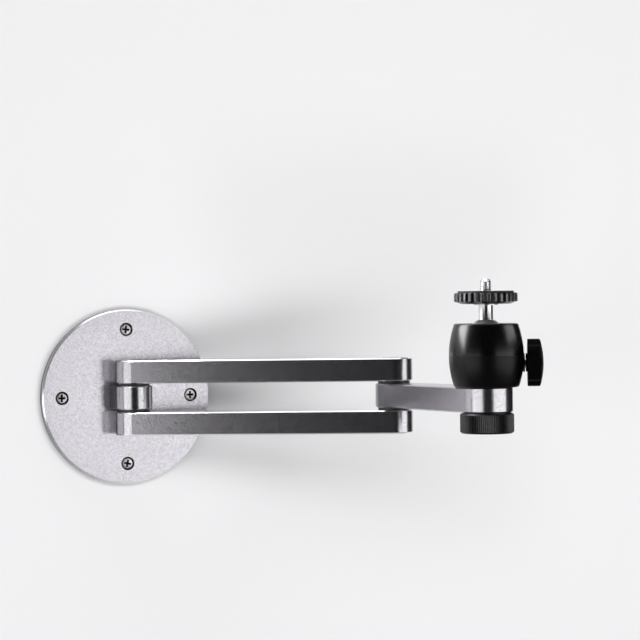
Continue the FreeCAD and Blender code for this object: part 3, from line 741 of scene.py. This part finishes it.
class Growth(Nodes):
    """A geometry node tree with named inputs, used as a modifier and then turned into a plain mesh."""

    def __init__(self, name: str, **inputs: type) -> None:
        """Makes the tree and its interface.

        Args:
            name: the tree's name.
            inputs: the named inputs after the geometry, each float or int. Underscores become spaces.
        """
        tree = bpy.data.node_groups.new(name, "GeometryNodeTree")
        super().__init__(tree)
        for direction in ("OUTPUT", "INPUT"):
            tree.interface.new_socket("Geometry", in_out=direction, socket_type="NodeSocketGeometry")
        kinds = {float: "NodeSocketFloat", int: "NodeSocketInt"}
        for label, kind in inputs.items():
            tree.interface.new_socket(label.replace("_", " "), in_out="INPUT", socket_type=kinds[kind])
        tree.interface.new_socket("Material", in_out="INPUT", socket_type="NodeSocketMaterial")
        self.entry = tree.nodes.new("NodeGroupInput")

    def given(self, label: str) -> Socket:
        """One of the tree's named inputs."""
        return self.entry.outputs[label]

    def close(self, geometry: Socket) -> None:
        """Ends the tree: instances are made real and the finish is set.

        Args:
            geometry: the grown geometry.
        """
        real = self.add("GeometryNodeRealizeInstances", geometry)
        dressed = self.add("GeometryNodeSetMaterial", real.outputs[0], None, self.given("Material"))
        self.add("NodeGroupOutput", dressed.outputs[0])

    def grow(self, base: bpy.types.Object, material: bpy.types.Material, **sizes: float) -> bpy.types.Object:
        """Runs the tree on an object.

        Args:
            base: the object that the tree starts from. It is removed afterwards.
            material: the finish that the tree sets.
            sizes: values of the named inputs.

        Returns:
            A plain mesh object with no modifier, under the base's name.
        """
        modifier = base.modifiers.new(self.tree.name, "NODES")
        modifier.node_group = self.tree
        for item in self.tree.interface.items_tree:
            label = item.name.replace(" ", "_")
            if label in sizes:
                modifier[item.identifier] = sizes[label]
            elif item.name == "Material":
                modifier[item.identifier] = material
        return plain(base)


class RidgeCut(Growth):
    """Cuts even upright grooves into whatever stands further out than they reach."""

    LEAST_REACH = 1e-6

    def __init__(self) -> None:
        """Builds the tree: every point is drawn in to the groove's radius at its angle."""
        super().__init__("ridge_cut", Count=int, Rim_Radius=float, Groove_Depth=float, Land=float,
                         Roundness=float)
        position = self.add("GeometryNodeInputPosition").outputs[0]
        x, y, z = self.axes(position)
        turn = self.maths("DIVIDE", self.maths("ARCTAN2", y, x), TURN)
        share = self.maths("FRACT", self.maths("MULTIPLY", turn, self.given("Count")))
        wave = self.maths("PINGPONG", self.maths("MULTIPLY", share, 2.0), 1.0)
        straight, smooth = (self.fit(wave, self.given("Land"), 1.0, 0.0, 1.0, fall) for fall in Fall)
        fallen = self.add("ShaderNodeMix", self.given("Roundness"), None, straight, smooth, data_type="FLOAT")
        depth = self.maths("MULTIPLY", fallen.outputs[0], self.given("Groove Depth"))
        limit = self.maths("SUBTRACT", self.given("Rim Radius"), depth)
        reach = self.length(x, y, 0.0)
        drawn = self.maths("DIVIDE", self.maths("MINIMUM", reach, limit),
                           self.maths("MAXIMUM", reach, self.LEAST_REACH))
        place = self.vector(self.maths("MULTIPLY", x, drawn), self.maths("MULTIPLY", y, drawn), z)
        moved = self.add("GeometryNodeSetPosition", self.given("Geometry"), None, place)
        self.close(moved.outputs[0])

    def cut(self, blank: bpy.types.Object, material: bpy.types.Material, count: int, rim: float,
            depth: float, land: float, roundness: float) -> bpy.types.Object:
        """Cuts the grooves into a turned blank.

        Args:
            blank: the turned piece. It is removed afterwards.
            material: the piece's finish.
            count: how many grooves go round.
            rim: the radius of the ridges' crests, in millimetres.
            depth: how deep the grooves are, in millimetres.
            land: the share of a ridge that keeps the full radius.
            roundness: zero for straight flanks, one for round ones.

        Returns:
            The ridged piece.
        """
        return self.grow(blank, material, Count=count, Rim_Radius=rim * MM, Groove_Depth=depth * MM,
                         Land=land, Roundness=roundness)


class Thread(Growth):
    """Winds a screw thread round a core along +Z."""

    STEPS_PER_TURN = 28
    SECTION_CORNERS = 4

    def __init__(self) -> None:
        """Builds the tree: a spiral with a four-sided section, joined to the core."""
        super().__init__("thread", Turns=float, Thread_Length=float, Start_Height=float, Start_Radius=float,
                         End_Radius=float, Tooth=float)
        spiral = self.add("GeometryNodeCurveSpiral")
        for label, feed in (("Resolution", self.STEPS_PER_TURN), ("Rotations", self.given("Turns")),
                            ("Start Radius", self.given("Start Radius")),
                            ("End Radius", self.given("End Radius")),
                            ("Height", self.given("Thread Length"))):
            self.feed(spiral.inputs[label], feed)
        raised = self.add("GeometryNodeTransform", spiral.outputs[0])
        self.feed(raised.inputs["Translation"], self.vector(0.0, 0.0, self.given("Start Height")))
        upright = self.add("GeometryNodeSetCurveNormal", raised.outputs[0], mode="Z_UP")
        section = self.add("GeometryNodeCurvePrimitiveCircle", self.SECTION_CORNERS)
        self.feed(section.inputs["Radius"], self.given("Tooth"))
        ridge = self.add("GeometryNodeCurveToMesh", upright.outputs[0], section.outputs[0])
        self.feed(ridge.inputs["Fill Caps"], True)
        joined = self.add("GeometryNodeJoinGeometry")
        for geometry in (self.given("Geometry"), ridge.outputs[0]):
            self.tree.links.new(geometry, joined.inputs[0])
        self.close(joined.outputs[0])

    def wind(self, core: bpy.types.Object, material: bpy.types.Material, pitch: float, start: float,
             length: float, radii: Span, tooth: float) -> bpy.types.Object:
        """Winds a thread round a turned core. All lengths are in millimetres.

        Args:
            core: the turned piece. It is removed afterwards.
            material: the piece's finish.
            pitch: how far one turn climbs.
            start: the height at which the thread starts.
            length: how far it climbs in all.
            radii: the radius of its middle at the start and at the end.
            tooth: how far its section's corners stand from that middle.

        Returns:
            The threaded piece.
        """
        return self.grow(core, material, Turns=length / pitch, Thread_Length=length * MM,
                         Start_Height=start * MM, Start_Radius=radii[0] * MM, End_Radius=radii[1] * MM,
                         Tooth=tooth * MM)


class ScrewRing(Growth):
    """Sets copies of a screw on a ring, each left at its own angle by whoever drove it."""

    LEAST_SPIN = math.radians(-14.0)
    MOST_SPIN = math.radians(12.0)

    def __init__(self) -> None:
        """Builds the tree: the screw is repeated on a ring, with a seeded turn about its own axis."""
        super().__init__("screw_ring", Count=int, Ring_Radius=float, Seed=int)
        ring = self.add("GeometryNodeMeshCircle", self.given("Count"), self.given("Ring Radius"))
        random = self.add("FunctionNodeRandomValue", data_type="FLOAT")
        for label, feed in (("Min", self.LEAST_SPIN), ("Max", self.MOST_SPIN), ("Seed", self.given("Seed"))):
            self.feed(live(random.inputs, label), feed)
        spin = self.vector(0.0, 0.0, live(random.outputs, "Value"))
        placed = self.add("GeometryNodeInstanceOnPoints")
        for label, feed in (("Points", ring.outputs[0]), ("Instance", self.given("Geometry")),
                            ("Rotation", spin)):
            self.feed(placed.inputs[label], feed)
        self.close(placed.outputs[0])


class Workshop:
    """What the sub-assemblies share: the finishes and the trees."""

    def __init__(self) -> None:
        """Makes the finishes and the trees once."""
        self.finishes = Finishes()
        self.ridges = RidgeCut()
        self.thread = Thread()
        self.ring = ScrewRing()

    def settle(self, piece: bpy.types.Object, place: Matrix, body: Body, slot: str, *nodes: str) -> None:
        """Puts a finished piece where it belongs, with its place in its mesh.

        Args:
            piece: the piece, made about its own origin.
            place: where it goes in the mount's frame.
            body: the rigid body that it rides on.
            slot: not used.
            nodes: the CAD nodes that it stands for.
        """
        piece.data.transform(place)
        piece.data.update()
        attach(piece, body.value)
        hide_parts(*nodes)
        LOG.info("%s rides on %s, %d faces", piece.name, body.value, len(piece.data.polygons))


@dataclass
class WallPlateAssembly:
    """The plate, the four screws that hold it to the wall, and the knuckle.

    A screw is made along +Z with the wall at zero, and lengths are in millimetres. The head's rim is given as
    steps in from its radius and down from its face.
    """

    shop: Workshop
    count: int = 4
    ring_radius: float = 38.5
    spin_seed: int = 5
    face: float = -4.2
    head_radius: float = 3.05
    head_rim: tuple[Span, ...] = ((0.35, 0.0), (0.12, 0.05), (0.14, 0.14))
    facets: int = 40
    shank_radius: float = 1.6
    shank_step: float = 0.5
    core_radius: float = 1.25
    thread_radius: float = 1.8
    thread_start: float = 0.8
    pitch: float = 1.75
    point_start: float = 20.8
    point_radius: float = 0.25
    point_length: float = 0.1
    point_tooth: float = 0.75
    last_turn_radius: float = 0.3
    bare_tip: float = 1.2
    tip: float = 25.798
    recess_span: float = 4.5
    recess_width: float = 1.25
    recess_depth: float = 1.9
    recess_overshoot: float = 0.5
    recess_mouth_scale: float = 1.12
    recess_foot_scale: float = 0.42
    least_width_scale: float = 0.6

    def cross(self) -> bpy.types.Object:
        """Makes the tapered cross that is cut out of a head.

        Returns:
            The cutter.
        """
        mesh = bmesh.new()
        rings = []
        for height, scale in ((-self.recess_overshoot, self.recess_mouth_scale),
                              (self.recess_depth, self.recess_foot_scale)):
            arm = self.recess_span / 2 * scale
            half = self.recess_width / 2 * max(scale, self.least_width_scale)
            quarter = [(arm, half), (half, half), (half, arm)]
            corners = []
            for _ in range(4):
                corners += quarter
                quarter = [(-y, x) for x, y in quarter]
            rings.append([mesh.verts.new((x * MM, y * MM, (self.face + height) * MM)) for x, y in corners])
        low, high = rings
        for i in range(len(low)):
            j = (i + 1) % len(low)
            mesh.faces.new((low[i], low[j], high[j], high[i]))
        mesh.faces.new(list(reversed(low)))
        mesh.faces.new(high)
        bmesh.ops.recalc_face_normals(mesh, faces=mesh.faces)
        return new_object("cross", mesh)

    def profile(self) -> Profile:
        """Draws a screw's section.

        Returns:
            Its points from the middle of the head to the screw's point.
        """
        head = [(self.head_radius - inset, self.face + drop) for inset, drop in self.head_rim]
        shank = [(self.shank_radius, self.face + self.head_radius - self.shank_radius),
                 (self.shank_radius, 0.0), (self.core_radius, self.shank_step)]
        point = [(self.core_radius, self.point_start), (self.point_radius, self.tip - self.point_length),
                 (0.0, self.tip)]
        return [(0.0, self.face)] + head + shank + point

    def screw(self) -> bpy.types.Object:
        """Makes one countersunk wood screw, with its thread and its cross recess.

        Returns:
            The screw.
        """
        blank = new_object("wall_screws_driven", lathe(self.profile(), self.facets))
        cutter = self.cross()
        cut = blank.modifiers.new("recess", "BOOLEAN")
        cut.operation, cut.object, cut.solver = "DIFFERENCE", cutter, "EXACT"
        screw = plain(blank)
        bpy.data.objects.remove(cutter)
        wind, steel = self.shop.thread.wind, self.shop.finishes["screw_steel"]
        tooth = self.thread_radius - self.core_radius
        screw = wind(screw, steel, self.pitch, self.thread_start, self.point_start - self.thread_start,
                     (self.core_radius, self.core_radius), tooth)
        return wind(screw, steel, self.pitch, self.point_start, self.tip - self.bare_tip - self.point_start,
                    (self.core_radius, self.last_turn_radius), tooth * self.point_tooth)

    def build(self) -> None:
        """Makes the screws and dresses the nodes round them."""
        screws = self.shop.ring.grow(self.screw(), self.shop.finishes["screw_steel"], Count=self.count,
                                     Ring_Radius=self.ring_radius * MM, Seed=self.spin_seed)
        into_wall = Matrix.Rotation(-math.pi / 2, 4, "X")
        self.shop.settle(screws, into_wall, Body.BASE, "screw_steel", "wall_screws")
        dress = self.shop.finishes.dress
        dress("silver_aluminium", "wall_plate")
        dress("grey_aluminium", "knuckle")
        dress("zinc_steel", "knuckle_screws")
        dress("bush_plastic", "knuckle_bush")


@dataclass
class Arms:
    """The two long bars, the forearm and the two pivots between them."""

    shop: Workshop

    def build(self) -> None:
        """Dresses the arm nodes."""
        dress = self.shop.finishes.dress
        dress("grey_aluminium", "upper_bar", "lower_bar", "forearm")
        for pivot in ("wall", "elbow"):
            dress("zinc_steel", pivot + "_pivot_bolt", pivot + "_pivot_nut")
            dress("washer_plastic", "upper_%s_washer" % pivot, "lower_%s_washer" % pivot)
        dress("bush_plastic", "elbow_bush")


@dataclass
class ThumbScrew:
    """The knurled nut under the forearm and the stud that it carries."""

    shop: Workshop
    low: float = -18.0
    top: float = -BLOCK_TOP
    rim: float = 14.5
    bevel: float = 0.9
    bevel_steps: int = 3
    land: float = 0.5
    land_inset: float = 2.0
    stud_radius: float = 4.75
    floor: float = 2.5
    tooth_count: int = 88
    tooth_depth: float = 0.38
    tooth_land: float = 0.2
    tooth_roundness: float = 0.0
    facets_per_tooth: int = 4
    dish_radius: float = 9.0
    dish_depth: float = 0.5

    def profile(self) -> Profile:
        """Draws the nut's section, with enough rings in the bevels for the teeth to run out.

        Returns:
            Its points from the dish below, round the rim, to the hole for the stud.
        """
        shoulder = self.top - self.land
        rise = [i / self.bevel_steps for i in range(self.bevel_steps + 1)]
        lower = [(self.rim - self.bevel * (1 - t), self.low + self.bevel * t) for t in rise]
        upper = [(self.rim - self.bevel * t, shoulder - self.bevel * (1 - t)) for t in rise]
        dish_top = self.low + self.dish_depth
        dish = [(0.0, dish_top), (self.dish_radius - self.dish_depth, dish_top), (self.dish_radius, self.low)]
        inner = [(self.rim - self.land_inset, shoulder), (self.rim - self.land_inset, self.top),
                 (self.stud_radius, self.top), (self.stud_radius, self.low + self.floor),
                 (0.0, self.low + self.floor)]
        return dish + lower + upper + inner

    def build(self) -> None:
        """Turns the nut, knurls it and dresses the stud."""
        turned = lathe(self.profile(), self.tooth_count * self.facets_per_tooth)
        nut = self.shop.ridges.cut(new_object("thumb_nut_knurled", turned),
                                   self.shop.finishes["thumb_nut_black"], self.tooth_count, self.rim,
                                   self.tooth_depth, self.tooth_land, self.tooth_roundness)
        self.shop.settle(nut, at(HEAD_X, HEAD_Y, 0.0), Body.THUMB_SCREW, "black_anodised", "thumb_nut")
        self.shop.finishes.dress("zinc_steel", "clamp_stud")


@dataclass
class Barrel:
    """The two shells of the ball head with what they hold inside."""

    shop: Workshop

    def build(self) -> None:
        """Dresses the barrel's nodes: the upper shell glossy, the lower one satin."""
        dress = self.shop.finishes.dress
        dress("gloss_lacquer", "barrel_upper")
        dress("satin_lacquer", "barrel_lower", "clamp_bush")
        dress("insert_brass", "base_insert")
        dress("bush_plastic", "ball_cup", "liner_ring")
        dress("zinc_steel", "clamp_wedge")


@dataclass
class SideKnob:
    """The lobed knob on the side clamp's screw. Heights in its section run from the barrel's axis."""

    shop: Workshop
    back: float = 21.0
    hub: float = 5.0
    hub_edge: float = 0.2
    face: float = 21.9
    outer: float = 30.5
    radius: float = 12.7
    crown: float = 1.6
    crown_steps: int = 9
    back_bevel: float = 0.5
    back_bevel_steps: int = 3
    side_steps: int = 4
    bevel: float = 1.0
    bevel_pull: float = 0.25
    bevel_steps: int = 4
    screw_radius: float = 2.0
    screw_depth: float = 6.0
    lobes: int = 6
    lobe_land: float = 0.4
    lobe_roundness: float = 1.0
    facets_per_lobe: int = 32
    scallop_depth: float = 1.3

    def crowned(self, inner: float) -> Profile:
        """Draws the knob's domed face.

        Args:
            inner: the radius at which the dome starts.

        Returns:
            Its points from just inside that radius to the middle.
        """
        dome = inner ** 2 / (2 * self.crown) + self.crown / 2
        points = []
        for i in range(1, self.crown_steps + 1):
            reach = inner * (1 - i / self.crown_steps)
            points.append((reach, self.outer - dome + math.sqrt(dome ** 2 - reach ** 2)))
        return points

    def profile(self) -> Profile:
        """Draws the knob's section.

        Returns:
            Its points from the screw hole round the rim to the middle of the domed face.
        """
        corner, inner = self.outer - self.crown, self.radius - self.bevel
        foot, shoulder = self.face + self.back_bevel, corner - self.bevel
        hole = [(0.0, self.back + self.screw_depth), (self.screw_radius, self.back + self.screw_depth),
                (self.screw_radius, self.back), (self.hub - self.hub_edge, self.back),
                (self.hub, self.back + self.hub_edge), (self.hub, self.face)]
        back_rim = rounded((self.radius - self.back_bevel, self.face), (self.radius, self.face),
                           (self.radius, foot), self.back_bevel_steps)
        side = [(self.radius, foot + i * (shoulder - foot) / self.side_steps)
                for i in range(1, self.side_steps)]
        front_rim = rounded((self.radius, shoulder), (self.radius, corner - self.bevel_pull), (inner, corner),
                            self.bevel_steps)
        return hole + back_rim + side + front_rim + self.crowned(inner)

    def build(self) -> None:
        """Turns the knob, cuts its lobes and dresses its screw."""
        blank = new_object("clamp_knob_lobed", lathe(self.profile(), self.lobes * self.facets_per_lobe))
        knob = self.shop.ridges.cut(blank, self.shop.finishes["knob_plastic"], self.lobes, self.radius,
                                    self.scallop_depth, self.lobe_land, self.lobe_roundness)
        lying = at(HEAD_X, HEAD_Y, CLAMP_Z, HEAD_HEADING) @ Matrix.Rotation(math.pi / 2, 4, "Y")
        self.shop.settle(knob, lying, Body.SIDE_KNOB, "knob_plastic", "clamp_knob")
        self.shop.finishes.dress("zinc_steel", "clamp_screw")


@dataclass
class BallAndStem:
    """The ball, and the stem with its quarter-inch thread. Heights run from the ball's centre."""

    shop: Workshop
    facets: int = 64
    radius: float = 3.8
    flare: float = 0.4
    flare_steps: int = 6
    flat: float = 9.623
    root_radius: float = 3.0
    root_depth: float = 7.0
    shoulder: float = 17.6
    shoulder_edge: float = 0.15
    waist_radius: float = 2.76
    waist_step: float = 0.2
    thread_start: float = 24.6
    crest_radius: float = 3.175
    tooth: float = 0.6
    tooth_bite: float = 0.05
    pitch: float = 1.27
    tip: float = 31.498
    tip_bevel: float = 0.45
    bare_tip: float = 0.9

    def profile(self) -> Profile:
        """Draws the stem's section.

        Returns:
            Its points from the root in the ball up to the tip.
        """
        root = self.flat - self.root_depth
        foot = self.radius + self.flare
        core = self.crest_radius - self.tooth - self.tooth_bite
        flare = []
        for i in range(self.flare_steps + 1):
            t = i * math.pi / (2 * self.flare_steps)
            flare.append((foot - self.flare * math.sin(t), self.flat + self.flare * (1 - math.cos(t))))
        shoulder = [(self.radius, self.shoulder - self.shoulder_edge),
                    (self.radius - self.shoulder_edge, self.shoulder), (self.waist_radius, self.shoulder)]
        top = [(self.waist_radius, self.thread_start - self.waist_step), (core, self.thread_start),
               (core, self.tip - self.tip_bevel), (core - self.tip_bevel, self.tip), (0.0, self.tip)]
        return [(0.0, root), (self.root_radius, root), (self.root_radius, self.flat)] + flare + shoulder + top

    def build(self) -> None:
        """Turns the stem, winds its thread and dresses the ball."""
        blank = new_object("stem_threaded", lathe(self.profile(), self.facets))
        middle = self.crest_radius - self.tooth
        length = self.tip - self.bare_tip - self.thread_start
        stem = self.shop.thread.wind(blank, self.shop.finishes["stem_chrome"], self.pitch, self.thread_start,
                                     length, (middle, middle), self.tooth)
        self.shop.settle(stem, at(HEAD_X, HEAD_Y, BALL_Z), Body.BALL_STEM, "stem_chrome", "stem")
        self.shop.finishes.dress("ball_steel", "ball")


@dataclass
class LockDisc:
    """The ridged lock disc on the stem's thread. Heights run from the ball's centre."""

    shop: Workshop
    low: float = 18.1
    top: float = 24.1
    rim: float = 17.0
    taper_width: float = 4.0
    taper_height: float = 1.4
    taper_rings: tuple[float, ...] = (0.0, 0.35, 0.7, 0.8, 0.9, 1.0)
    bevel: float = 0.6
    bevel_rings: tuple[float, ...] = (0.0, 0.33, 0.67, 1.0)
    top_inset: float = 1.6
    insert_radius: float = 6.5
    ridge_count: int = 30
    ridge_land: float = 0.3
    ridge_roundness: float = 1.0
    facets_per_ridge: int = 12
    groove_depth: float = 0.8

    def profile(self) -> Profile:
        """Draws the disc's section, with rings in the taper and the bevel for the grooves to run out.

        Returns:
            Its points from the hole below, round the rim, to the hole above.
        """
        taper = [(self.rim - self.taper_width * (1 - t), self.low + self.taper_height * t)
                 for t in self.taper_rings]
        upper = [(self.rim - self.bevel * t, self.top - self.bevel * (1 - t)) for t in self.bevel_rings]
        inner = [(self.rim - self.top_inset, self.top), (self.insert_radius, self.top)]
        return [(self.insert_radius, self.low)] + taper + upper + inner

    def build(self) -> None:
        """Turns the disc, cuts its ridges and dresses the insert and the pad."""
        turned = lathe(self.profile(), self.ridge_count * self.facets_per_ridge, closed=True)
        disc = self.shop.ridges.cut(new_object("lock_disc_ridged", turned), self.shop.finishes["disc_black"],
                                    self.ridge_count, self.rim, self.groove_depth, self.ridge_land,
                                    self.ridge_roundness)
        place = at(HEAD_X, HEAD_Y, BALL_Z, HEAD_HEADING)
        self.shop.settle(disc, place, Body.DISC, "black_anodised", "lock_disc")
        self.shop.finishes.dress("zinc_steel", "lock_insert")
        self.shop.finishes.dress("pad_rubber", "disc_pad")


@dataclass(frozen=True)
class Lamp:
    """A rectangular lamp that only the surfaces see. Lengths are in metres.

    The brightness is its radiance, where white paper under full light is about one.
    """

    name: str
    centre: Vector
    normal: Vector
    up: Vector
    width: float
    height: float
    brightness: float
    reach: Reach = Reach.ALL

    def hang(self) -> None:
        """Adds the lamp to the scene, shining along its normal."""
        data = bpy.data.lights.new(self.name, "AREA")
        data.shape, data.size, data.size_y = "RECTANGLE", self.width, self.height
        data.energy = self.brightness * math.pi * self.width * self.height
        side = self.up.cross(-self.normal).normalized()
        basis = Matrix((side, (-self.normal).cross(side), -self.normal)).transposed().to_4x4()
        made = bpy.data.objects.new(self.name, data)
        made.matrix_world = Matrix.Translation(self.centre) @ basis
        made.visible_camera = False
        made.visible_glossy = self.reach is not Reach.MATT
        made.visible_diffuse = self.reach is not Reach.SHINY
        bpy.context.scene.collection.objects.link(made)


def upright_lamp(name: str, start: Span, end: Span, height: float, middle: float, brightness: float,
                 reach: Reach = Reach.ALL) -> Lamp:
    """Places an upright softbox between two places on the floor plan, shining towards the ball head.

    Args:
        name: the lamp's name.
        start: x and y of one upright edge.
        end: x and y of the other upright edge.
        height: how tall it is.
        middle: how high its middle hangs.
        brightness: its radiance.
        reach: which surfaces take its light.

    Returns:
        The lamp.
    """
    a, b = Vector((*start, middle)), Vector((*end, middle))
    centre = (a + b) / 2
    normal = Vector((-(b - a).y, (b - a).x, 0.0)).normalized()
    target = Vector((HEAD_X, HEAD_Y, 0.0)) * MM
    if (target - centre).dot(normal) < 0:
        normal = -normal
    return Lamp(name, centre, normal, Vector((0.0, 0.0, 1.0)), (b - a).length, height, brightness, reach)


@dataclass
class Studio:
    """The camera, the lamps, the wall behind the mount and the floor below it.

    Lengths are in metres, angles in degrees, and the camera's lens and sensor in millimetres.
    """

    lens: float = 129.24
    sensor: float = 36.0
    clip: Span = (0.05, 50.0)
    camera_place: Place = (-0.40010, -1.26645, 0.05841)
    yaw: float = 22.423
    pitch: float = 0.687
    roll: float = -0.692
    wall_gap: float = 0.0003
    wall_sides: Span = (-0.75, 0.36)
    wall_heights: Span = (-0.6, 0.62)
    floor_sides: Span = (-3.5, 3.5)
    floor_depths: Span = (-4.0, 3.0)
    floor_height: float = -2.6
    paint_roughness: float = 0.9
    room_colour: Colour = (0.9, 0.91, 0.93)
    ambient: float = 0.02

    def camera(self) -> None:
        """Sets the camera where the photograph was taken from."""
        yaw, pitch, roll = (math.radians(a) for a in (self.yaw, self.pitch, self.roll))
        forward = Vector((math.sin(yaw) * math.cos(pitch), math.cos(yaw) * math.cos(pitch), -math.sin(pitch)))
        right = Vector((math.cos(yaw), -math.sin(yaw), 0.0))
        up = right.cross(forward)
        across = right * math.cos(roll) + up * math.sin(roll)
        upward = -right * math.sin(roll) + up * math.cos(roll)
        data = bpy.data.cameras.new("camera")
        data.lens, data.sensor_width = self.lens, self.sensor
        data.clip_start, data.clip_end = self.clip
        made = bpy.data.objects.new("camera", data)
        basis = Matrix((across, upward, -forward)).transposed().to_4x4()
        made.matrix_world = Matrix.Translation(self.camera_place) @ basis
        bpy.context.scene.collection.objects.link(made)
        bpy.context.scene.camera = made

    def soft_lamps(self) -> list[Lamp]:
        """Places the large soft lamps behind, in front and overhead.

        Returns:
            The lamps.
        """
        lamps = [Lamp("back_panel", Vector((-0.2, 1.4, 0.6)), Vector((0.2, -1.4, -0.6)).normalized(),
                      Vector((0.0, -0.6, 1.4)).normalized(), 1.6, 1.0, 4.0, Reach.MATT)]
        for name, height in (("high_panel", 0.95), ("low_panel", -0.95)):
            lamps.append(Lamp(name, Vector((0.1, -2.2, height)), Vector((0.0, 2.2, -height)).normalized(),
                              Vector((0.0, height, 2.2)).normalized(), 2.6, 0.7, 4.4, Reach.MATT))
        lamps.append(Lamp("overhead_panel", Vector((0.1, -0.25, 1.2)), Vector((0.0, 0.0, -1.0)),
                          Vector((0.0, 1.0, 0.0)), 1.0, 0.6, 2.2))
        return lamps

    def lights(self) -> None:
        """Upright panels on both sides and along the wall, soft lamps round them, and a dim room."""
        upright = [
            upright_lamp("left_panel", (-0.70, -1.02), (-0.85, -0.10), 0.33, -0.13, 2.1),
            upright_lamp("right_panel", (0.20, -1.15), (0.86, -0.50), 0.30, -0.06, 2.0),
            upright_lamp("high_right_panel", (0.75, -0.75), (0.95, -0.25), 0.5, 0.45, 4.0, Reach.SHINY),
            upright_lamp("wall_side_panel", (-0.01, -0.015), (-0.80, -0.03), 0.5, 0.36, 18.0, Reach.SHINY),
        ]
        for lamp in upright + self.soft_lamps():
            lamp.hang()
        world = bpy.data.worlds.new("room")
        world.use_nodes = True
        shade = world.node_tree.nodes["Background"]
        shade.inputs["Color"].default_value = (*self.room_colour, 1.0)
        shade.inputs["Strength"].default_value = self.ambient
        bpy.context.scene.world = world

    def sheet(self, name: str, corners: Iterable[Place], paint: Paint) -> bpy.types.Object:
        """A flat, painted stage surface.

        Args:
            name: the surface's name.
            corners: its corners in order, anticlockwise as seen from its face.
            paint: its finish.

        Returns:
            The surface.
        """
        mesh = bmesh.new()
        mesh.faces.new([mesh.verts.new(corner) for corner in corners])
        made = new_object(name, mesh)
        made.data.materials.append(paint.material())
        return made

    def build(self) -> None:
        """Sets up the stage, the lamps and the camera."""
        bpy.context.scene.view_settings.view_transform = "Standard"
        (left, right), (foot, head), y = self.wall_sides, self.wall_heights, self.wall_gap
        wall = self.sheet("wall", ((left, y, foot), (right, y, foot), (right, y, head), (left, y, head)),
                          Paint("wall_paint", (0.90, 0.90, 0.91), self.paint_roughness, one_sided=True))
        wall.visible_shadow = False
        (left, right), (near, far), z = self.floor_sides, self.floor_depths, self.floor_height
        self.sheet("floor", ((left, near, z), (right, near, z), (right, far, z), (left, far, z)),
                   Paint("floor_paint", (0.82, 0.82, 0.82), self.paint_roughness))
        self.lights()
        self.camera()


def main() -> None:
    """Builds the mount's sub-assemblies in order, then the studio round them."""
    logging.basicConfig(level=logging.INFO, format="%(message)s")
    shop = Workshop()
    for part in (WallPlateAssembly(shop), Arms(shop), ThumbScrew(shop), Barrel(shop), SideKnob(shop),
                 BallAndStem(shop), LockDisc(shop)):
        LOG.info("building %s", type(part).__name__)
        part.build()
    Studio().build()
    bpy.context.view_layer.update()


if __name__ == "__main__":
    main()
